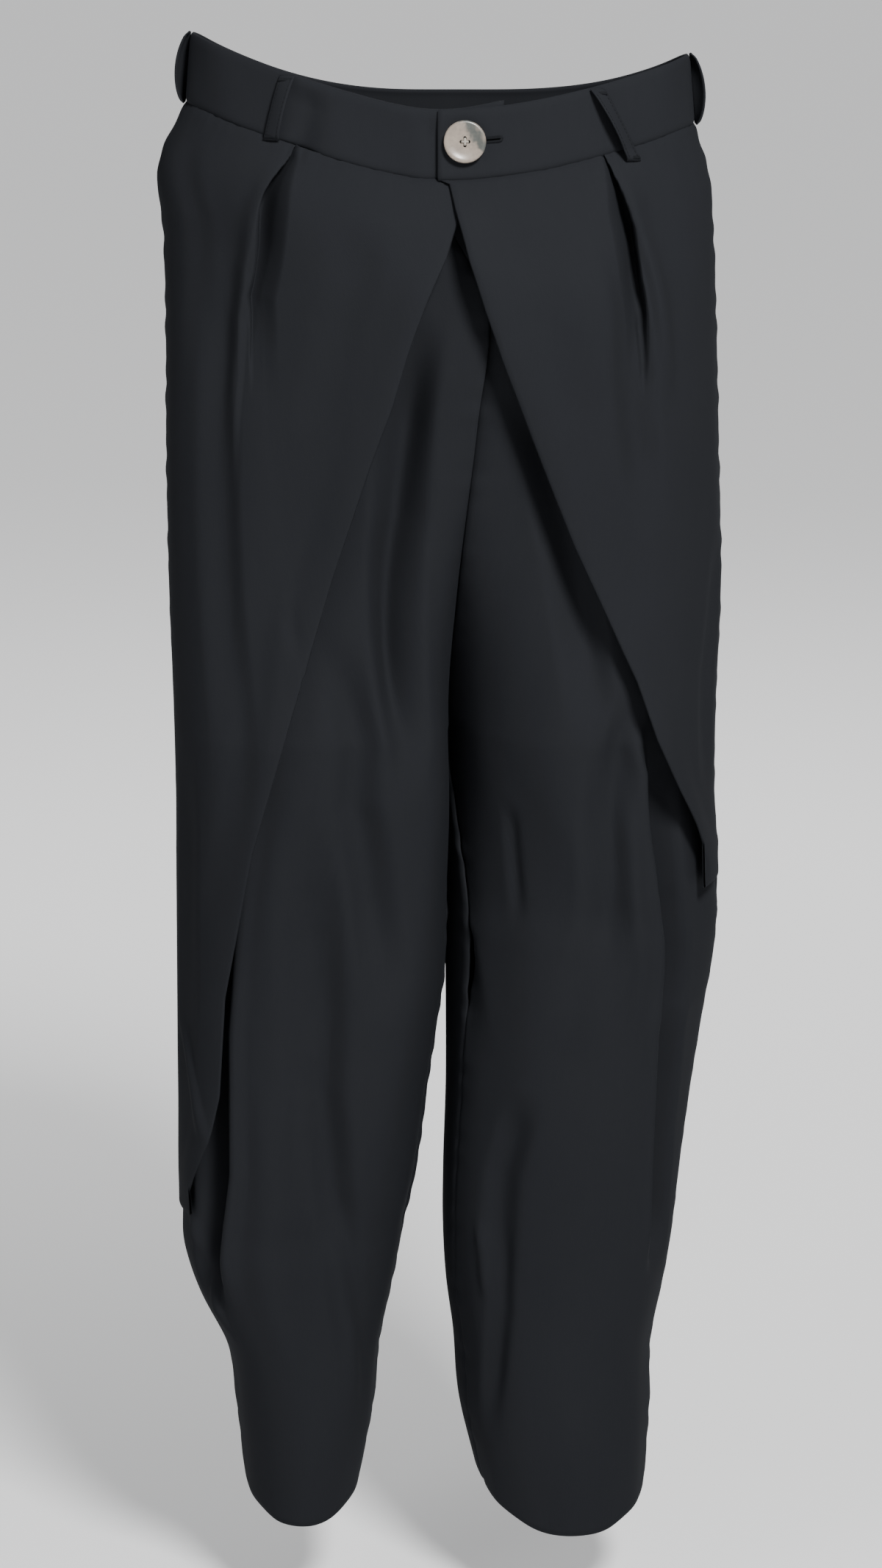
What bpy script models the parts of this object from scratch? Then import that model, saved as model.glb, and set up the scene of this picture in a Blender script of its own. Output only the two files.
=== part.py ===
"""Pleated balloon trousers, filled out and held at the waist, as closed cloth walls.

Metres, +Z up, the front faces -Y. The origin is the middle of the waist opening, at the height of the
waistband. Left and right are the wearer's, so the wearer's left is at +X.

Each leg is one ring at every level below the waistband: half of a body ring at the waist, which closes
into a leg ring at the crotch. A place on a ring is its share of the girth, 0 at the centre front or
inseam, 0.5 at the side seam and 1 at the centre back or inseam.
"""

import math
from typing import NamedTuple

import bmesh
import bpy
import numpy as np
from mathutils import Matrix, Vector

# Driving dimensions
CLOTH_WALL = 0.0016
BAND_WALL = 0.0022
GAP = 0.0003
BAND_HEIGHT = 0.043
BAND_LEAN_IN = 0.004
LOOP_WIDTH = 0.010
LOOP_WALL = 0.0016
BUTTON_RADIUS = 0.0135
BUTTON_WALL = 0.0036
BUTTON_HOLE_RADIUS = 0.0010
BUTTON_HOLE_SPACING = 0.0024
SHANK_RADIUS = 0.0016
SHANK_GAP = 0.0014
BUTTONHOLE_LENGTH = 0.0225
BUTTONHOLE_SLIT = 0.0012

SHARP_ANGLE = math.radians(40)

# Where the shape changes, as levels below the waistband seam
JOIN_START = -0.070
CROTCH_LEVEL = -0.400
HEM_LEVEL = -0.940
INSEAM_TURN_LENGTH = 0.160
ROUND_HEM_LENGTH = 0.240
SEAM_FADE = -0.150
HEM_FADE = -0.800

# How the body ring parts into legs, and how the centre front swings
CLOSING_POWER = 1.8
SWING_DEPTH = 0.100
SWING_MOST = 1.1
WAIST_EASE = 0.10
SEAM_REACH = 0.070

# The lap of the two fronts at the centre
LAP_RISE = 0.0029
LAP_FULL_X = 0.056
LAP_NONE_X = 0.090
LAP_LENGTH = 0.110
OVERLAP_END_X = -0.0010
UNDERLAP_END_X = 0.0400
BUTTON_X = 0.0150
BUTTON_BELOW_TOP = 0.0195

# Folds: the shares of a fold's length over which it starts and dies away
FOLD_START = 0.25
FOLD_END = 0.35

# The crisp outer fold of a leg front
OUTER_FOLD_RIDGE = 0.0060
OUTER_FOLD_DEPTH = 0.0210
OUTER_FOLD_WIDTH = 0.0140
OUTER_FOLD_BANK = 0.0240
OUTER_FOLD_LEAST_BANK = 0.0020
OUTER_FOLD_START = 0.100
OUTER_FOLD_END = 0.050

# The wrap panel over the leg front
WRAP_EDGE_LIFT = 0.0040
WRAP_EDGE_ROLL = 0.0300
LIFT_START = 0.050
LIFT_END = 0.060
LEAST_WRAP = 0.012
PLEAT_OUTER_BANK = 2.5
PLEAT_FROM_EDGE = 0.40
PLEAT_FROM_SIDE = 0.10
UNDER_REACH = 0.200
UNDER_SIDE_FADE = 0.12
COVER_BELOW = 0.035
COVER_FADE = 0.030

# Belt loops
LOOP_STEPS = 12
LOOP_ABOVE = 0.001
LOOP_SQUARENESS = 0.55
LOOP_OVER_HIP = 0.35
LOOP_STAND_OFF = 0.0062


class Section(NamedTuple):
    """Half-widths and depths of the cloth at one level, from the centre line outwards."""

    level: float
    inner: float
    outer: float
    front: float
    back: float


class WaistLine(NamedTuple):
    """Height of the band's top edge: at the centre, its rise to the side, and how late it rises."""

    centre: float
    rise: float
    power: float


class Fold(NamedTuple):
    """A trough (depth > 0) or ridge (depth < 0) along a path of (level, x) or (level, girth) pairs."""

    face: str
    path: tuple
    depth: float
    inner_width: float
    outer_width: float


class Leg(NamedTuple):
    """One side of the trousers, with its wrap panel."""

    name: str
    side: int
    sections: tuple
    front_waist: WaistLine
    back_waist: WaistLine
    inseam_turn: float
    fullness: float
    wrap_edge: tuple
    wrap_end: float
    edge_lift_start: float
    outer_fold: tuple
    hem_tilt_forward: float
    hem_tilt_outward: float
    wrap_folds: tuple
    front_folds: tuple
    back_folds: tuple


class FrontLoop(NamedTuple):
    """A belt loop on the front: where its ends are sewn, and how far it reaches and stands off."""

    leg: Leg
    top_x: float
    bottom_x: float
    below_band: float
    stand_off: float


class Lean(NamedTuple):
    """How far the centre front swings towards the wearer's left at one level."""

    level: float
    shift: float


class UnderDepth(NamedTuple):
    """How far the leg front lies inside the wrap panel at one level."""

    level: float
    depth: float


CENTRE_LEAN = (
    Lean(0.000, 0.000),
    Lean(-0.040, 0.004),
    Lean(-0.110, 0.028),
    Lean(-0.190, 0.025),
    Lean(-0.290, 0.021),
    Lean(-0.400, 0.023),
    Lean(-0.480, 0.019),
    Lean(-0.560, 0.012),
    Lean(-0.640, 0.006),
    Lean(-0.720, 0.002),
    Lean(-0.800, 0.000),
)

UNDER_DEPTHS = (
    UnderDepth(0.000, 0.0035),
    UnderDepth(-0.030, 0.0110),
    UnderDepth(-0.080, 0.0160),
    UnderDepth(-0.160, 0.0140),
    UnderDepth(-0.260, 0.0100),
    UnderDepth(-0.380, 0.0080),
    UnderDepth(-0.480, 0.0075),
    UnderDepth(-0.600, 0.0070),
    UnderDepth(-0.700, 0.0050),
    UnderDepth(-0.740, 0.0035),
    UnderDepth(-0.790, 0.0000),
)

RIGHT = Leg(
    name="right",
    side=-1,
    sections=(
        Section(0.000, 0.0000, 0.1670, -0.0830, 0.0820),
        Section(-0.030, 0.0000, 0.1832, -0.0930, 0.0920),
        Section(-0.080, 0.0000, 0.1822, -0.1040, 0.1050),
        Section(-0.140, 0.0000, 0.1824, -0.1110, 0.1160),
        Section(-0.220, 0.0000, 0.1838, -0.1140, 0.1200),
        Section(-0.300, 0.0000, 0.1832, -0.1120, 0.1120),
        Section(-0.400, 0.0003, 0.1800, -0.1080, 0.1010),
        Section(-0.450, -0.0020, 0.1795, -0.1060, 0.0975),
        Section(-0.500, -0.0021, 0.1802, -0.1040, 0.0950),
        Section(-0.580, -0.0008, 0.1810, -0.1000, 0.0930),
        Section(-0.620, 0.0045, 0.1812, -0.0980, 0.0925),
        Section(-0.660, 0.0098, 0.1812, -0.0960, 0.0920),
        Section(-0.720, 0.0175, 0.1815, -0.0930, 0.0910),
        Section(-0.760, 0.0262, 0.1800, -0.0905, 0.0900),
        Section(-0.800, 0.0335, 0.1690, -0.0870, 0.0880),
        Section(-0.840, 0.0420, 0.1505, -0.0840, 0.0860),
        Section(-0.890, 0.0470, 0.1435, -0.0800, 0.0830),
        Section(-0.940, 0.0565, 0.1385, -0.0740, 0.0780),
    ),
    front_waist=WaistLine(0.0100, 0.0450, 1.2),
    back_waist=WaistLine(0.0140, 0.0410, 2.2),
    inseam_turn=math.radians(6),
    fullness=2.80,
    wrap_edge=(
        (0.000, 0.0080),
        (-0.020, 0.0105),
        (-0.038, 0.0105),
        (-0.072, 0.0030),
        (-0.103, -0.0080),
        (-0.141, -0.0210),
        (-0.175, -0.0310),
        (-0.215, -0.0460),
        (-0.286, -0.0700),
        (-0.380, -0.0980),
        (-0.472, -0.1240),
        (-0.572, -0.1430),
        (-0.642, -0.1475),
        (-0.675, -0.1545),
        (-0.705, -0.1665),
        (-0.735, -0.1770),
    ),
    wrap_end=-0.735,
    edge_lift_start=-0.060,
    outer_fold=(
        (-0.400, -0.1250, -0.1420),
        (-0.480, -0.1330, -0.1480),
        (-0.600, -0.1455, -0.1560),
        (-0.700, -0.1440, -0.1560),
        (-0.805, -0.1415, -0.1490),
    ),
    hem_tilt_forward=0.24,
    hem_tilt_outward=0.00,
    wrap_folds=(
        Fold("front",
             ((0.010, -0.0910), (-0.020, -0.0960), (-0.060, -0.1080), (-0.110, -0.1120), (-0.185, -0.1130)),
             0.0120, 0.0060, 0.0160),
        Fold("front", ((-0.010, -0.1050), (-0.070, -0.1230), (-0.120, -0.1290), (-0.220, -0.1360)),
             -0.0040, 0.0130, 0.0130),
        Fold("front", ((-0.030, -0.1350), (-0.120, -0.1420), (-0.230, -0.1450), (-0.430, -0.1380)),
             0.0060, 0.0120, 0.0160),
        Fold("girth", ((-0.400, 0.42), (-0.560, 0.41), (-0.700, 0.42)), 0.0030, 0.0200, 0.0200),
    ),
    front_folds=(
        Fold("front", ((-0.150, -0.0200), (-0.250, -0.0235), (-0.380, -0.0260)), 0.0110, 0.0220, 0.0160),
        Fold("front", ((-0.330, -0.0690), (-0.440, -0.0560), (-0.590, -0.0360)), 0.0075, 0.0150, 0.0150),
        Fold("front", ((-0.460, -0.0840), (-0.640, -0.0800), (-0.710, -0.0720), (-0.820, -0.0570)),
             0.0080, 0.0120, 0.0170),
        Fold("front", ((-0.740, -0.0720), (-0.820, -0.0580), (-0.900, -0.0480)), -0.0050, 0.0110, 0.0110),
    ),
    back_folds=(
        Fold("girth", ((-0.150, 0.70), (-0.350, 0.72), (-0.560, 0.74)), 0.0060, 0.0220, 0.0220),
        Fold("girth", ((-0.300, 0.62), (-0.550, 0.64), (-0.800, 0.66)), 0.0080, 0.0240, 0.0200),
        Fold("girth", ((-0.380, 0.86), (-0.480, 0.80), (-0.600, 0.76)), 0.0070, 0.0180, 0.0200),
    ),
)

LEFT = Leg(
    name="left",
    side=1,
    sections=(
        Section(0.000, 0.0000, 0.1660, -0.0830, 0.0820),
        Section(-0.030, 0.0000, 0.1745, -0.0925, 0.0920),
        Section(-0.080, 0.0000, 0.1794, -0.1035, 0.1050),
        Section(-0.140, 0.0000, 0.1827, -0.1105, 0.1160),
        Section(-0.220, 0.0000, 0.1860, -0.1135, 0.1200),
        Section(-0.300, 0.0000, 0.1888, -0.1120, 0.1120),
        Section(-0.400, 0.0005, 0.1858, -0.1080, 0.1010),
        Section(-0.450, 0.0030, 0.1860, -0.1055, 0.0970),
        Section(-0.500, 0.0035, 0.1895, -0.1030, 0.0945),
        Section(-0.560, 0.0028, 0.1880, -0.0990, 0.0925),
        Section(-0.600, 0.0030, 0.1818, -0.0965, 0.0915),
        Section(-0.660, 0.0027, 0.1730, -0.0930, 0.0900),
        Section(-0.720, 0.0008, 0.1655, -0.0895, 0.0880),
        Section(-0.760, 0.0006, 0.1612, -0.0870, 0.0860),
        Section(-0.800, 0.0028, 0.1548, -0.0840, 0.0830),
        Section(-0.840, 0.0080, 0.1470, -0.0810, 0.0790),
        Section(-0.890, 0.0120, 0.1462, -0.0770, 0.0720),
        Section(-0.940, 0.0230, 0.1430, -0.0700, 0.0620),
    ),
    front_waist=WaistLine(0.0100, 0.0310, 1.5),
    back_waist=WaistLine(0.0140, 0.0270, 3.0),
    inseam_turn=math.radians(26),
    fullness=2.15,
    wrap_edge=(
        (0.000, 0.0000),
        (-0.004, 0.0060),
        (-0.030, 0.0100),
        (-0.075, 0.0190),
        (-0.112, 0.0290),
        (-0.146, 0.0400),
        (-0.205, 0.0630),
        (-0.266, 0.0870),
        (-0.310, 0.1070),
        (-0.355, 0.1270),
        (-0.394, 0.1400),
        (-0.432, 0.1560),
        (-0.460, 0.1690),
        (-0.485, 0.1790),
        (-0.505, 0.1840),
    ),
    wrap_end=-0.505,
    edge_lift_start=0.000,
    outer_fold=(
        (-0.360, 0.1250, 0.1430),
        (-0.420, 0.1390, 0.1520),
        (-0.500, 0.1450, 0.1550),
        (-0.600, 0.1440, 0.1530),
        (-0.700, 0.1420, 0.1490),
        (-0.785, 0.1400, 0.1460),
    ),
    hem_tilt_forward=0.37,
    hem_tilt_outward=-0.16,
    wrap_folds=(
        Fold("front",
             ((0.010, 0.1020), (-0.020, 0.1080), (-0.060, 0.1150), (-0.110, 0.1240), (-0.165, 0.1290)),
             0.0120, 0.0060, 0.0160),
        Fold("front", ((-0.010, 0.1180), (-0.060, 0.1290), (-0.110, 0.1400), (-0.180, 0.1450)),
             -0.0040, 0.0130, 0.0130),
        Fold("front", ((-0.070, 0.1090), (-0.150, 0.1230), (-0.250, 0.1370)), 0.0050, 0.0160, 0.0160),
        Fold("girth", ((-0.260, 0.44), (-0.360, 0.42), (-0.460, 0.44)), 0.0030, 0.0180, 0.0180),
    ),
    front_folds=(
        Fold("front", ((-0.180, 0.0560), (-0.280, 0.0830), (-0.380, 0.1040)), 0.0070, 0.0200, 0.0160),
        Fold("front", ((-0.380, 0.1330), (-0.450, 0.1110), (-0.570, 0.0880)), 0.0080, 0.0180, 0.0140),
        Fold("front", ((-0.420, 0.1270), (-0.500, 0.1290), (-0.620, 0.1290)), -0.0045, 0.0130, 0.0110),
        Fold("front", ((-0.640, 0.0560), (-0.700, 0.0390), (-0.780, 0.0350)), 0.0055, 0.0130, 0.0150),
        Fold("front", ((-0.730, 0.0420), (-0.800, 0.0400), (-0.900, 0.0340)), 0.0065, 0.0110, 0.0130),
    ),
    back_folds=(
        Fold("girth", ((-0.160, 0.69), (-0.360, 0.71), (-0.580, 0.73)), 0.0060, 0.0220, 0.0220),
        Fold("girth", ((-0.320, 0.61), (-0.520, 0.62), (-0.760, 0.66)), 0.0080, 0.0240, 0.0200),
        Fold("girth", ((-0.370, 0.87), (-0.470, 0.81), (-0.620, 0.77)), 0.0070, 0.0180, 0.0200),
    ),
)

FRONT_LOOPS = (
    FrontLoop(RIGHT, top_x=-0.0990, bottom_x=-0.1080, below_band=0.001, stand_off=0.0030),
    FrontLoop(LEFT, top_x=0.1010, bottom_x=0.1220, below_band=0.008, stand_off=0.0036),
)


def rise(share):
    """A smooth step from 0 to 1 as share goes from 0 to 1."""
    share = np.clip(share, 0.0, 1.0)
    return share * share * (3.0 - 2.0 * share)


def read(rows, column, level):
    """The named column of a table at any level, on a smooth curve through its rows."""
    levels = np.array([row.level for row in reversed(rows)])
    values = np.array([getattr(row, column) for row in reversed(rows)])
    slopes = np.gradient(values, levels)
    level = np.clip(np.asarray(level, float), levels[0], levels[-1])
    index = np.clip(np.searchsorted(levels, level) - 1, 0, len(levels) - 2)
    step = levels[index + 1] - levels[index]
    t = (level - levels[index]) / step
    start = (1 + 2 * t) * (1 - t) ** 2 * values[index] + t * (1 - t) ** 2 * step * slopes[index]
    end = t * t * (3 - 2 * t) * values[index + 1] + t * t * (t - 1) * step * slopes[index + 1]
    return start + end


def along(path, level, column=1):
    """A path of (level, value) pairs read at a level, held at its ends."""
    levels = np.array([point[0] for point in reversed(path)])
    values = np.array([point[column] for point in reversed(path)])
    return np.interp(level, levels, values)


def swell(wave, fullness):
    """A cosine or sine bent into the fuller curve of a superellipse."""
    return np.sign(wave) * np.abs(wave) ** (2.0 / fullness)


def deep(wave, front, back):
    """Depth of a ring: forwards where the wave is positive and back where it is negative."""
    return np.where(wave > 0, front * wave, -back * wave)


def closing(level):
    """How far the halves of the body ring have closed into leg rings: 0 at the waist, 1 at the crotch."""
    return np.clip((level - JOIN_START) / (CROTCH_LEVEL - JOIN_START), 0, 1) ** CLOSING_POWER


def ring(leg, girth, level):
    """The cloth's x and y at a share of the girth and a level."""
    girth, level = np.broadcast_arrays(np.asarray(girth, float), np.asarray(level, float))
    inner = read(leg.sections, "inner", level)
    outer = read(leg.sections, "outer", level)
    front = read(leg.sections, "front", level)
    back = read(leg.sections, "back", level)
    closed = closing(level)
    body_angle = math.pi * (0.5 + girth)
    turn = leg.inseam_turn * rise((CROTCH_LEVEL - level) / INSEAM_TURN_LENGTH)
    leg_angle = np.where(
        girth < 0.5,
        turn + (math.pi - turn) * 2 * girth,
        math.pi + (math.pi + turn) * (2 * girth - 1),
    )
    body_out = -outer * np.cos(body_angle)
    body_y = deep(np.sin(body_angle), front, back)
    fullness = 2.0 + (leg.fullness - 2.0) * rise((level - HEM_LEVEL) / ROUND_HEM_LENGTH)
    leg_out = (inner + outer) / 2 - (outer - inner) / 2 * swell(np.cos(leg_angle), fullness)
    leg_y = deep(swell(np.sin(leg_angle), fullness), front, back)
    out = body_out + (leg_out - body_out) * closed
    y = body_y + (leg_y - body_y) * closed
    swing = read(CENTRE_LEAN, "shift", level) * np.cos(math.pi * np.clip(girth, 0, 1)) ** 2
    x = leg.side * (out + GAP / 2) + swing * np.clip(-y / SWING_DEPTH, 0, SWING_MOST)
    return x, y


def stretch(leg, girth, level):
    """The tangent of the ring and its length, in metres for a whole girth."""
    step = 0.002
    ahead_x, ahead_y = ring(leg, girth + step, level)
    behind_x, behind_y = ring(leg, girth - step, level)
    tangent = np.stack([ahead_x - behind_x, ahead_y - behind_y], -1) / (2 * step)
    return tangent, np.linalg.norm(tangent, axis=-1)


def girth_at_x(leg, x, level):
    """The share of the girth on the front where the ring passes x at a level."""
    shares = np.linspace(-0.12, 0.5, 249)
    xs = ring(leg, shares, level)[0] * leg.side
    return float(np.interp(x * leg.side, np.maximum.accumulate(xs), shares))


def fold_girths(leg, fold):
    """A fold's path as (level, girth) pairs."""
    if fold.face == "girth":
        return fold.path
    return tuple((level, girth_at_x(leg, x, min(level, 0.0))) for level, x in fold.path)


def relief(leg, folds, girth, level):
    """How far the folds push the cloth out at a place: troughs are negative."""
    total = np.zeros(np.broadcast(girth, level).shape)
    _, speed = stretch(leg, girth, level)
    for fold in folds:
        path = fold_girths(leg, fold)
        across = (girth - along(path, level)) * speed
        width = np.where(across < 0, fold.inner_width, fold.outer_width)
        shape = np.clip(1 - (across / width) ** 2, 0, None) ** 2
        top, bottom = path[0][0], path[-1][0]
        length = top - bottom
        ends = rise((top - level) / (FOLD_START * length)) * rise((level - bottom) / (FOLD_END * length))
        total = total - fold.depth * shape * ends
    return total


def outer_fold_relief(leg, girth, level):
    """The crisp outer fold of a leg front and the deep valley beside it."""
    ridge = outer_fold_girth(leg, level, 1)
    trough = outer_fold_girth(leg, level, 2)
    _, speed = stretch(leg, girth, level)
    from_ridge = (girth - ridge) * speed
    from_trough = (girth - trough) * speed
    top, bottom = leg.outer_fold[0][0], leg.outer_fold[-1][0]
    ends = rise((top - level) / OUTER_FOLD_START) * rise((level - bottom) / OUTER_FOLD_END)
    inner_bank = np.abs(trough - ridge) * speed + OUTER_FOLD_LEAST_BANK
    bank = np.where(from_trough < 0, inner_bank, OUTER_FOLD_BANK)
    valley = np.clip(1 - (from_trough / bank) ** 2, 0, None) ** 1.5
    crest = np.clip(1 - (from_ridge / OUTER_FOLD_WIDTH) ** 2, 0, None) ** 2
    return ends * (OUTER_FOLD_RIDGE * crest - OUTER_FOLD_DEPTH * valley)


def outer_fold_girth(leg, level, column):
    """The girth of the outer fold's crest (column 1) or valley (column 2) at a level."""
    path = tuple((row[0], girth_at_x(leg, row[column], row[0])) for row in leg.outer_fold)
    return along(path, level)


def waist_height(leg, girth):
    """Height of the band's top edge at a share of the girth."""
    out = np.hypot(np.cos(math.pi * (0.5 + girth)), WAIST_EASE) - WAIST_EASE
    out = out / (math.hypot(1.0, WAIST_EASE) - WAIST_EASE)
    front = leg.front_waist.centre + leg.front_waist.rise * out ** leg.front_waist.power
    side_height = leg.front_waist.centre + leg.front_waist.rise
    back_rise = side_height - leg.back_waist.centre
    back = leg.back_waist.centre + back_rise * out ** leg.back_waist.power
    return np.where(girth < 0.5, front, back)


def height(leg, girth, level):
    """Height of the cloth: the seam's curve at the waist fades into level rows and the hem tilts."""
    seam = waist_height(leg, girth) - BAND_HEIGHT - GAP
    at_waist = np.clip(1 - level / SEAM_FADE, 0, 1) ** 2
    x, y = ring(leg, girth, HEM_LEVEL)
    last = leg.sections[-1]
    outward = leg.side * x - (last.inner + last.outer) / 2
    tilt = leg.hem_tilt_forward * y + leg.hem_tilt_outward * outward
    at_hem = np.clip((level - HEM_FADE) / (HEM_LEVEL - HEM_FADE), 0, 1) ** 1.5
    return level + seam * at_waist + tilt * at_hem


def cloth(leg, girth, level, out, wall):
    """The outer and inner face of the cloth, pushed out from its ring.

    Above the crotch the push has no sideways part at the centre seams, so that the halves still meet.
    """
    girth, level = np.broadcast_arrays(np.asarray(girth, float), np.asarray(level, float))
    x, y = ring(leg, girth, level)
    tangent, speed = stretch(leg, girth, level)
    normal_x = leg.side * tangent[..., 1] / speed
    normal_y = -leg.side * tangent[..., 0] / speed
    from_seam = rise(np.minimum(np.abs(girth), np.abs(1 - girth)) / SEAM_REACH)
    sideways = np.where(level > CROTCH_LEVEL, from_seam, 1.0)
    z = height(leg, girth, level)
    outer = np.stack([x + out * sideways * normal_x, y + out * normal_y, z], -1)
    inner = outer - wall * np.stack([normal_x, normal_y, np.zeros_like(z)], -1)
    return np.stack([outer, inner])


def lap(x, level):
    """How far the wearer's left front rises over the right one near the centre."""
    return LAP_RISE * rise((LAP_NONE_X - x) / (LAP_NONE_X - LAP_FULL_X)) * rise(1 + level / LAP_LENGTH)


def levels_down_to(bottom):
    """Rows of the cloth, closer together near the waist and near the hem."""
    hip, shin = -0.10, -0.64
    least_step = 0.012
    above_hip = np.linspace(0.0, hip, 6)
    thigh = np.linspace(hip, shin, 16)[1:]
    calf = np.linspace(shin, HEM_LEVEL, 11)[1:]
    rows = np.concatenate([above_hip, thigh, calf])
    kept = rows[rows > bottom + least_step]
    return np.append(kept, bottom)


def columns(stops, counts):
    """Girths of a row: the stops, with even steps between them."""
    parts = [np.linspace(a, b, n, endpoint=False) for a, b, n in zip(stops[:-1], stops[1:], counts)]
    return np.append(np.concatenate(parts), stops[-1])


def seam_margin(leg, girth, level):
    """Half of the seam gap as a share of the girth."""
    return GAP / 2 / float(stretch(leg, np.array(girth), np.array(level))[1])


def front_faces(leg):
    """Both faces of the leg front under the wrap."""
    rows = []
    for level in levels_down_to(HEM_LEVEL):
        stops = (
            seam_margin(leg, 0.0, level),
            outer_fold_girth(leg, level, 1),
            outer_fold_girth(leg, level, 2),
            0.5 - seam_margin(leg, 0.5, level),
        )
        girth = columns(stops, (9, 2, 3))
        covered = rise((level - leg.wrap_end + COVER_BELOW) / COVER_FADE)
        edge = girth_at_x(leg, along(leg.wrap_edge, level), level)
        from_centre = rise((girth - edge + UNDER_REACH) / (0.8 * UNDER_REACH))
        near_wrap = from_centre * rise((0.5 - girth) / UNDER_SIDE_FADE)
        inside = (CLOTH_WALL + 2 * GAP) * covered + read(UNDER_DEPTHS, "depth", level) * near_wrap
        out = relief(leg, leg.front_folds, girth, level) + outer_fold_relief(leg, girth, level) - inside
        rows.append(cloth(leg, girth, level, out, CLOTH_WALL))
    return np.stack(rows, axis=1)


def back_faces(leg):
    """Both faces of the leg back."""
    rows = []
    for level in levels_down_to(HEM_LEVEL):
        stops = (0.5 + seam_margin(leg, 0.5, level), 1.0 - seam_margin(leg, 1.0, level))
        girth = columns(stops, (12,))
        rows.append(cloth(leg, girth, level, relief(leg, leg.back_folds, girth, level), CLOTH_WALL))
    return np.stack(rows, axis=1)


def wrap_faces(leg):
    """Both faces of the wrap panel, from its free edge to the side seam."""
    pleat = fold_girths(leg, leg.wrap_folds[0])
    rows = []
    for level in levels_down_to(leg.wrap_end):
        side = 0.5 - seam_margin(leg, 0.5, level)
        edge = min(girth_at_x(leg, along(leg.wrap_edge, level), level), side - LEAST_WRAP)
        nearest = edge + PLEAT_FROM_EDGE * (side - edge)
        crease = float(np.clip(along(pleat, level), nearest, side - PLEAT_FROM_SIDE))
        bank = leg.wrap_folds[0].inner_width / float(stretch(leg, np.array(crease), np.array(level))[1])
        stops = (edge, crease - bank, crease, crease + PLEAT_OUTER_BANK * bank, side)
        girth = columns(stops, (5, 1, 2, 4))
        x, _ = ring(leg, girth, level)
        _, speed = stretch(leg, girth, level)
        at_edge = rise(1 - (girth - edge) * speed / WRAP_EDGE_ROLL)
        lifted = rise((leg.edge_lift_start - level) / LIFT_START) * rise((level - leg.wrap_end) / LIFT_END)
        rolled = WRAP_EDGE_LIFT * at_edge * lifted
        out = relief(leg, leg.wrap_folds, girth, level) + rolled
        if leg is LEFT:
            out = out + lap(x, level)
        rows.append(cloth(leg, girth, level, out, CLOTH_WALL))
    return np.stack(rows, axis=1)


def band_faces(leg, girth, raised):
    """Both faces of a length of waistband, from its top edge to its bottom edge."""
    rows = []
    for share in np.linspace(0.0, 1.0, 4):
        faces = cloth(leg, girth, 0.0, raised - BAND_LEAN_IN * (1 - share), BAND_WALL)
        faces[..., 2] = waist_height(leg, girth) - BAND_HEIGHT * share
        rows.append(faces)
    return np.stack(rows, axis=1)


def clear_scene():
    for thing in list(bpy.data.objects):
        bpy.data.objects.remove(thing, do_unlink=True)


def material(name, colour, roughness):
    finish = bpy.data.materials.new(name)
    finish.use_nodes = True
    shader = finish.node_tree.nodes["Principled BSDF"]
    shader.inputs["Base Color"].default_value = (*colour, 1.0)
    shader.inputs["Roughness"].default_value = roughness
    shader.inputs["Metallic"].default_value = 0.0
    return finish


def add_object(name, mesh, finish):
    mesh.materials.append(finish)
    piece = bpy.data.objects.new(name, mesh)
    bpy.context.scene.collection.objects.link(piece)
    return piece


def sheet(name, faces, finish):
    """A closed cloth wall from the grids of its outer and inner face."""
    row_count, column_count = faces.shape[1:3]
    layer = row_count * column_count
    quads = []
    for row in range(row_count - 1):
        for column in range(column_count - 1):
            here = row * column_count + column
            quad = (here, here + column_count, here + column_count + 1, here + 1)
            quads.append(quad)
            quads.append(tuple(corner + layer for corner in quad[::-1]))
    top = [(column, column + 1) for column in range(column_count - 1)]
    right = [(row * column_count - 1, (row + 1) * column_count - 1) for row in range(1, row_count)]
    last = layer - column_count
    bottom = [(last + column + 1, last + column) for column in range(column_count - 1)]
    left = [((row + 1) * column_count, row * column_count) for row in range(row_count - 1)]
    for start, end in top + right + bottom + left:
        quads.append((start, end, end + layer, start + layer))
    shape = bmesh.new()
    points = [shape.verts.new(point) for point in faces.reshape(-1, 3)]
    for quad in quads:
        shape.faces.new([points[corner] for corner in quad])
    bmesh.ops.recalc_face_normals(shape, faces=shape.faces)
    mesh = bpy.data.meshes.new(name)
    shape.to_mesh(mesh)
    shape.free()
    mesh.shade_smooth()
    mesh.set_sharp_from_angle(angle=SHARP_ANGLE)
    return add_object(name, mesh, finish)


def belt_loop(name, leg, top_girth, bottom_girth, below_band, stand_off, finish):
    """A strip sewn down at the band's top edge and bottom edge, standing off between them."""
    rows = []
    for step in range(LOOP_STEPS + 1):
        share = step / LOOP_STEPS
        middle = top_girth + (bottom_girth - top_girth) * share
        half = LOOP_WIDTH / 2 / float(stretch(leg, np.array(middle), np.array(0.0))[1])
        girth = np.array([middle - half, middle + half])
        arch = math.sin(math.pi * share) ** LOOP_SQUARENESS if 0 < share < 1 else 0.0
        drop = share * (BAND_HEIGHT + below_band + LOOP_ABOVE) - LOOP_ABOVE
        lean_in = BAND_LEAN_IN * max(0.0, 1 - drop / BAND_HEIGHT)
        raised = lap(ring(leg, middle, 0.0)[0], 0.0) if leg is LEFT and middle < 0.5 else 0.0
        below_seam = max(0.0, drop - BAND_HEIGHT) * LOOP_OVER_HIP
        out = GAP + LOOP_WALL + stand_off * arch - lean_in + raised + below_seam
        faces = cloth(leg, girth, 0.0, out, LOOP_WALL)
        faces[..., 2] = waist_height(leg, middle) - drop
        rows.append(faces)
    return sheet(name, np.stack(rows, axis=1), finish)


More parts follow.
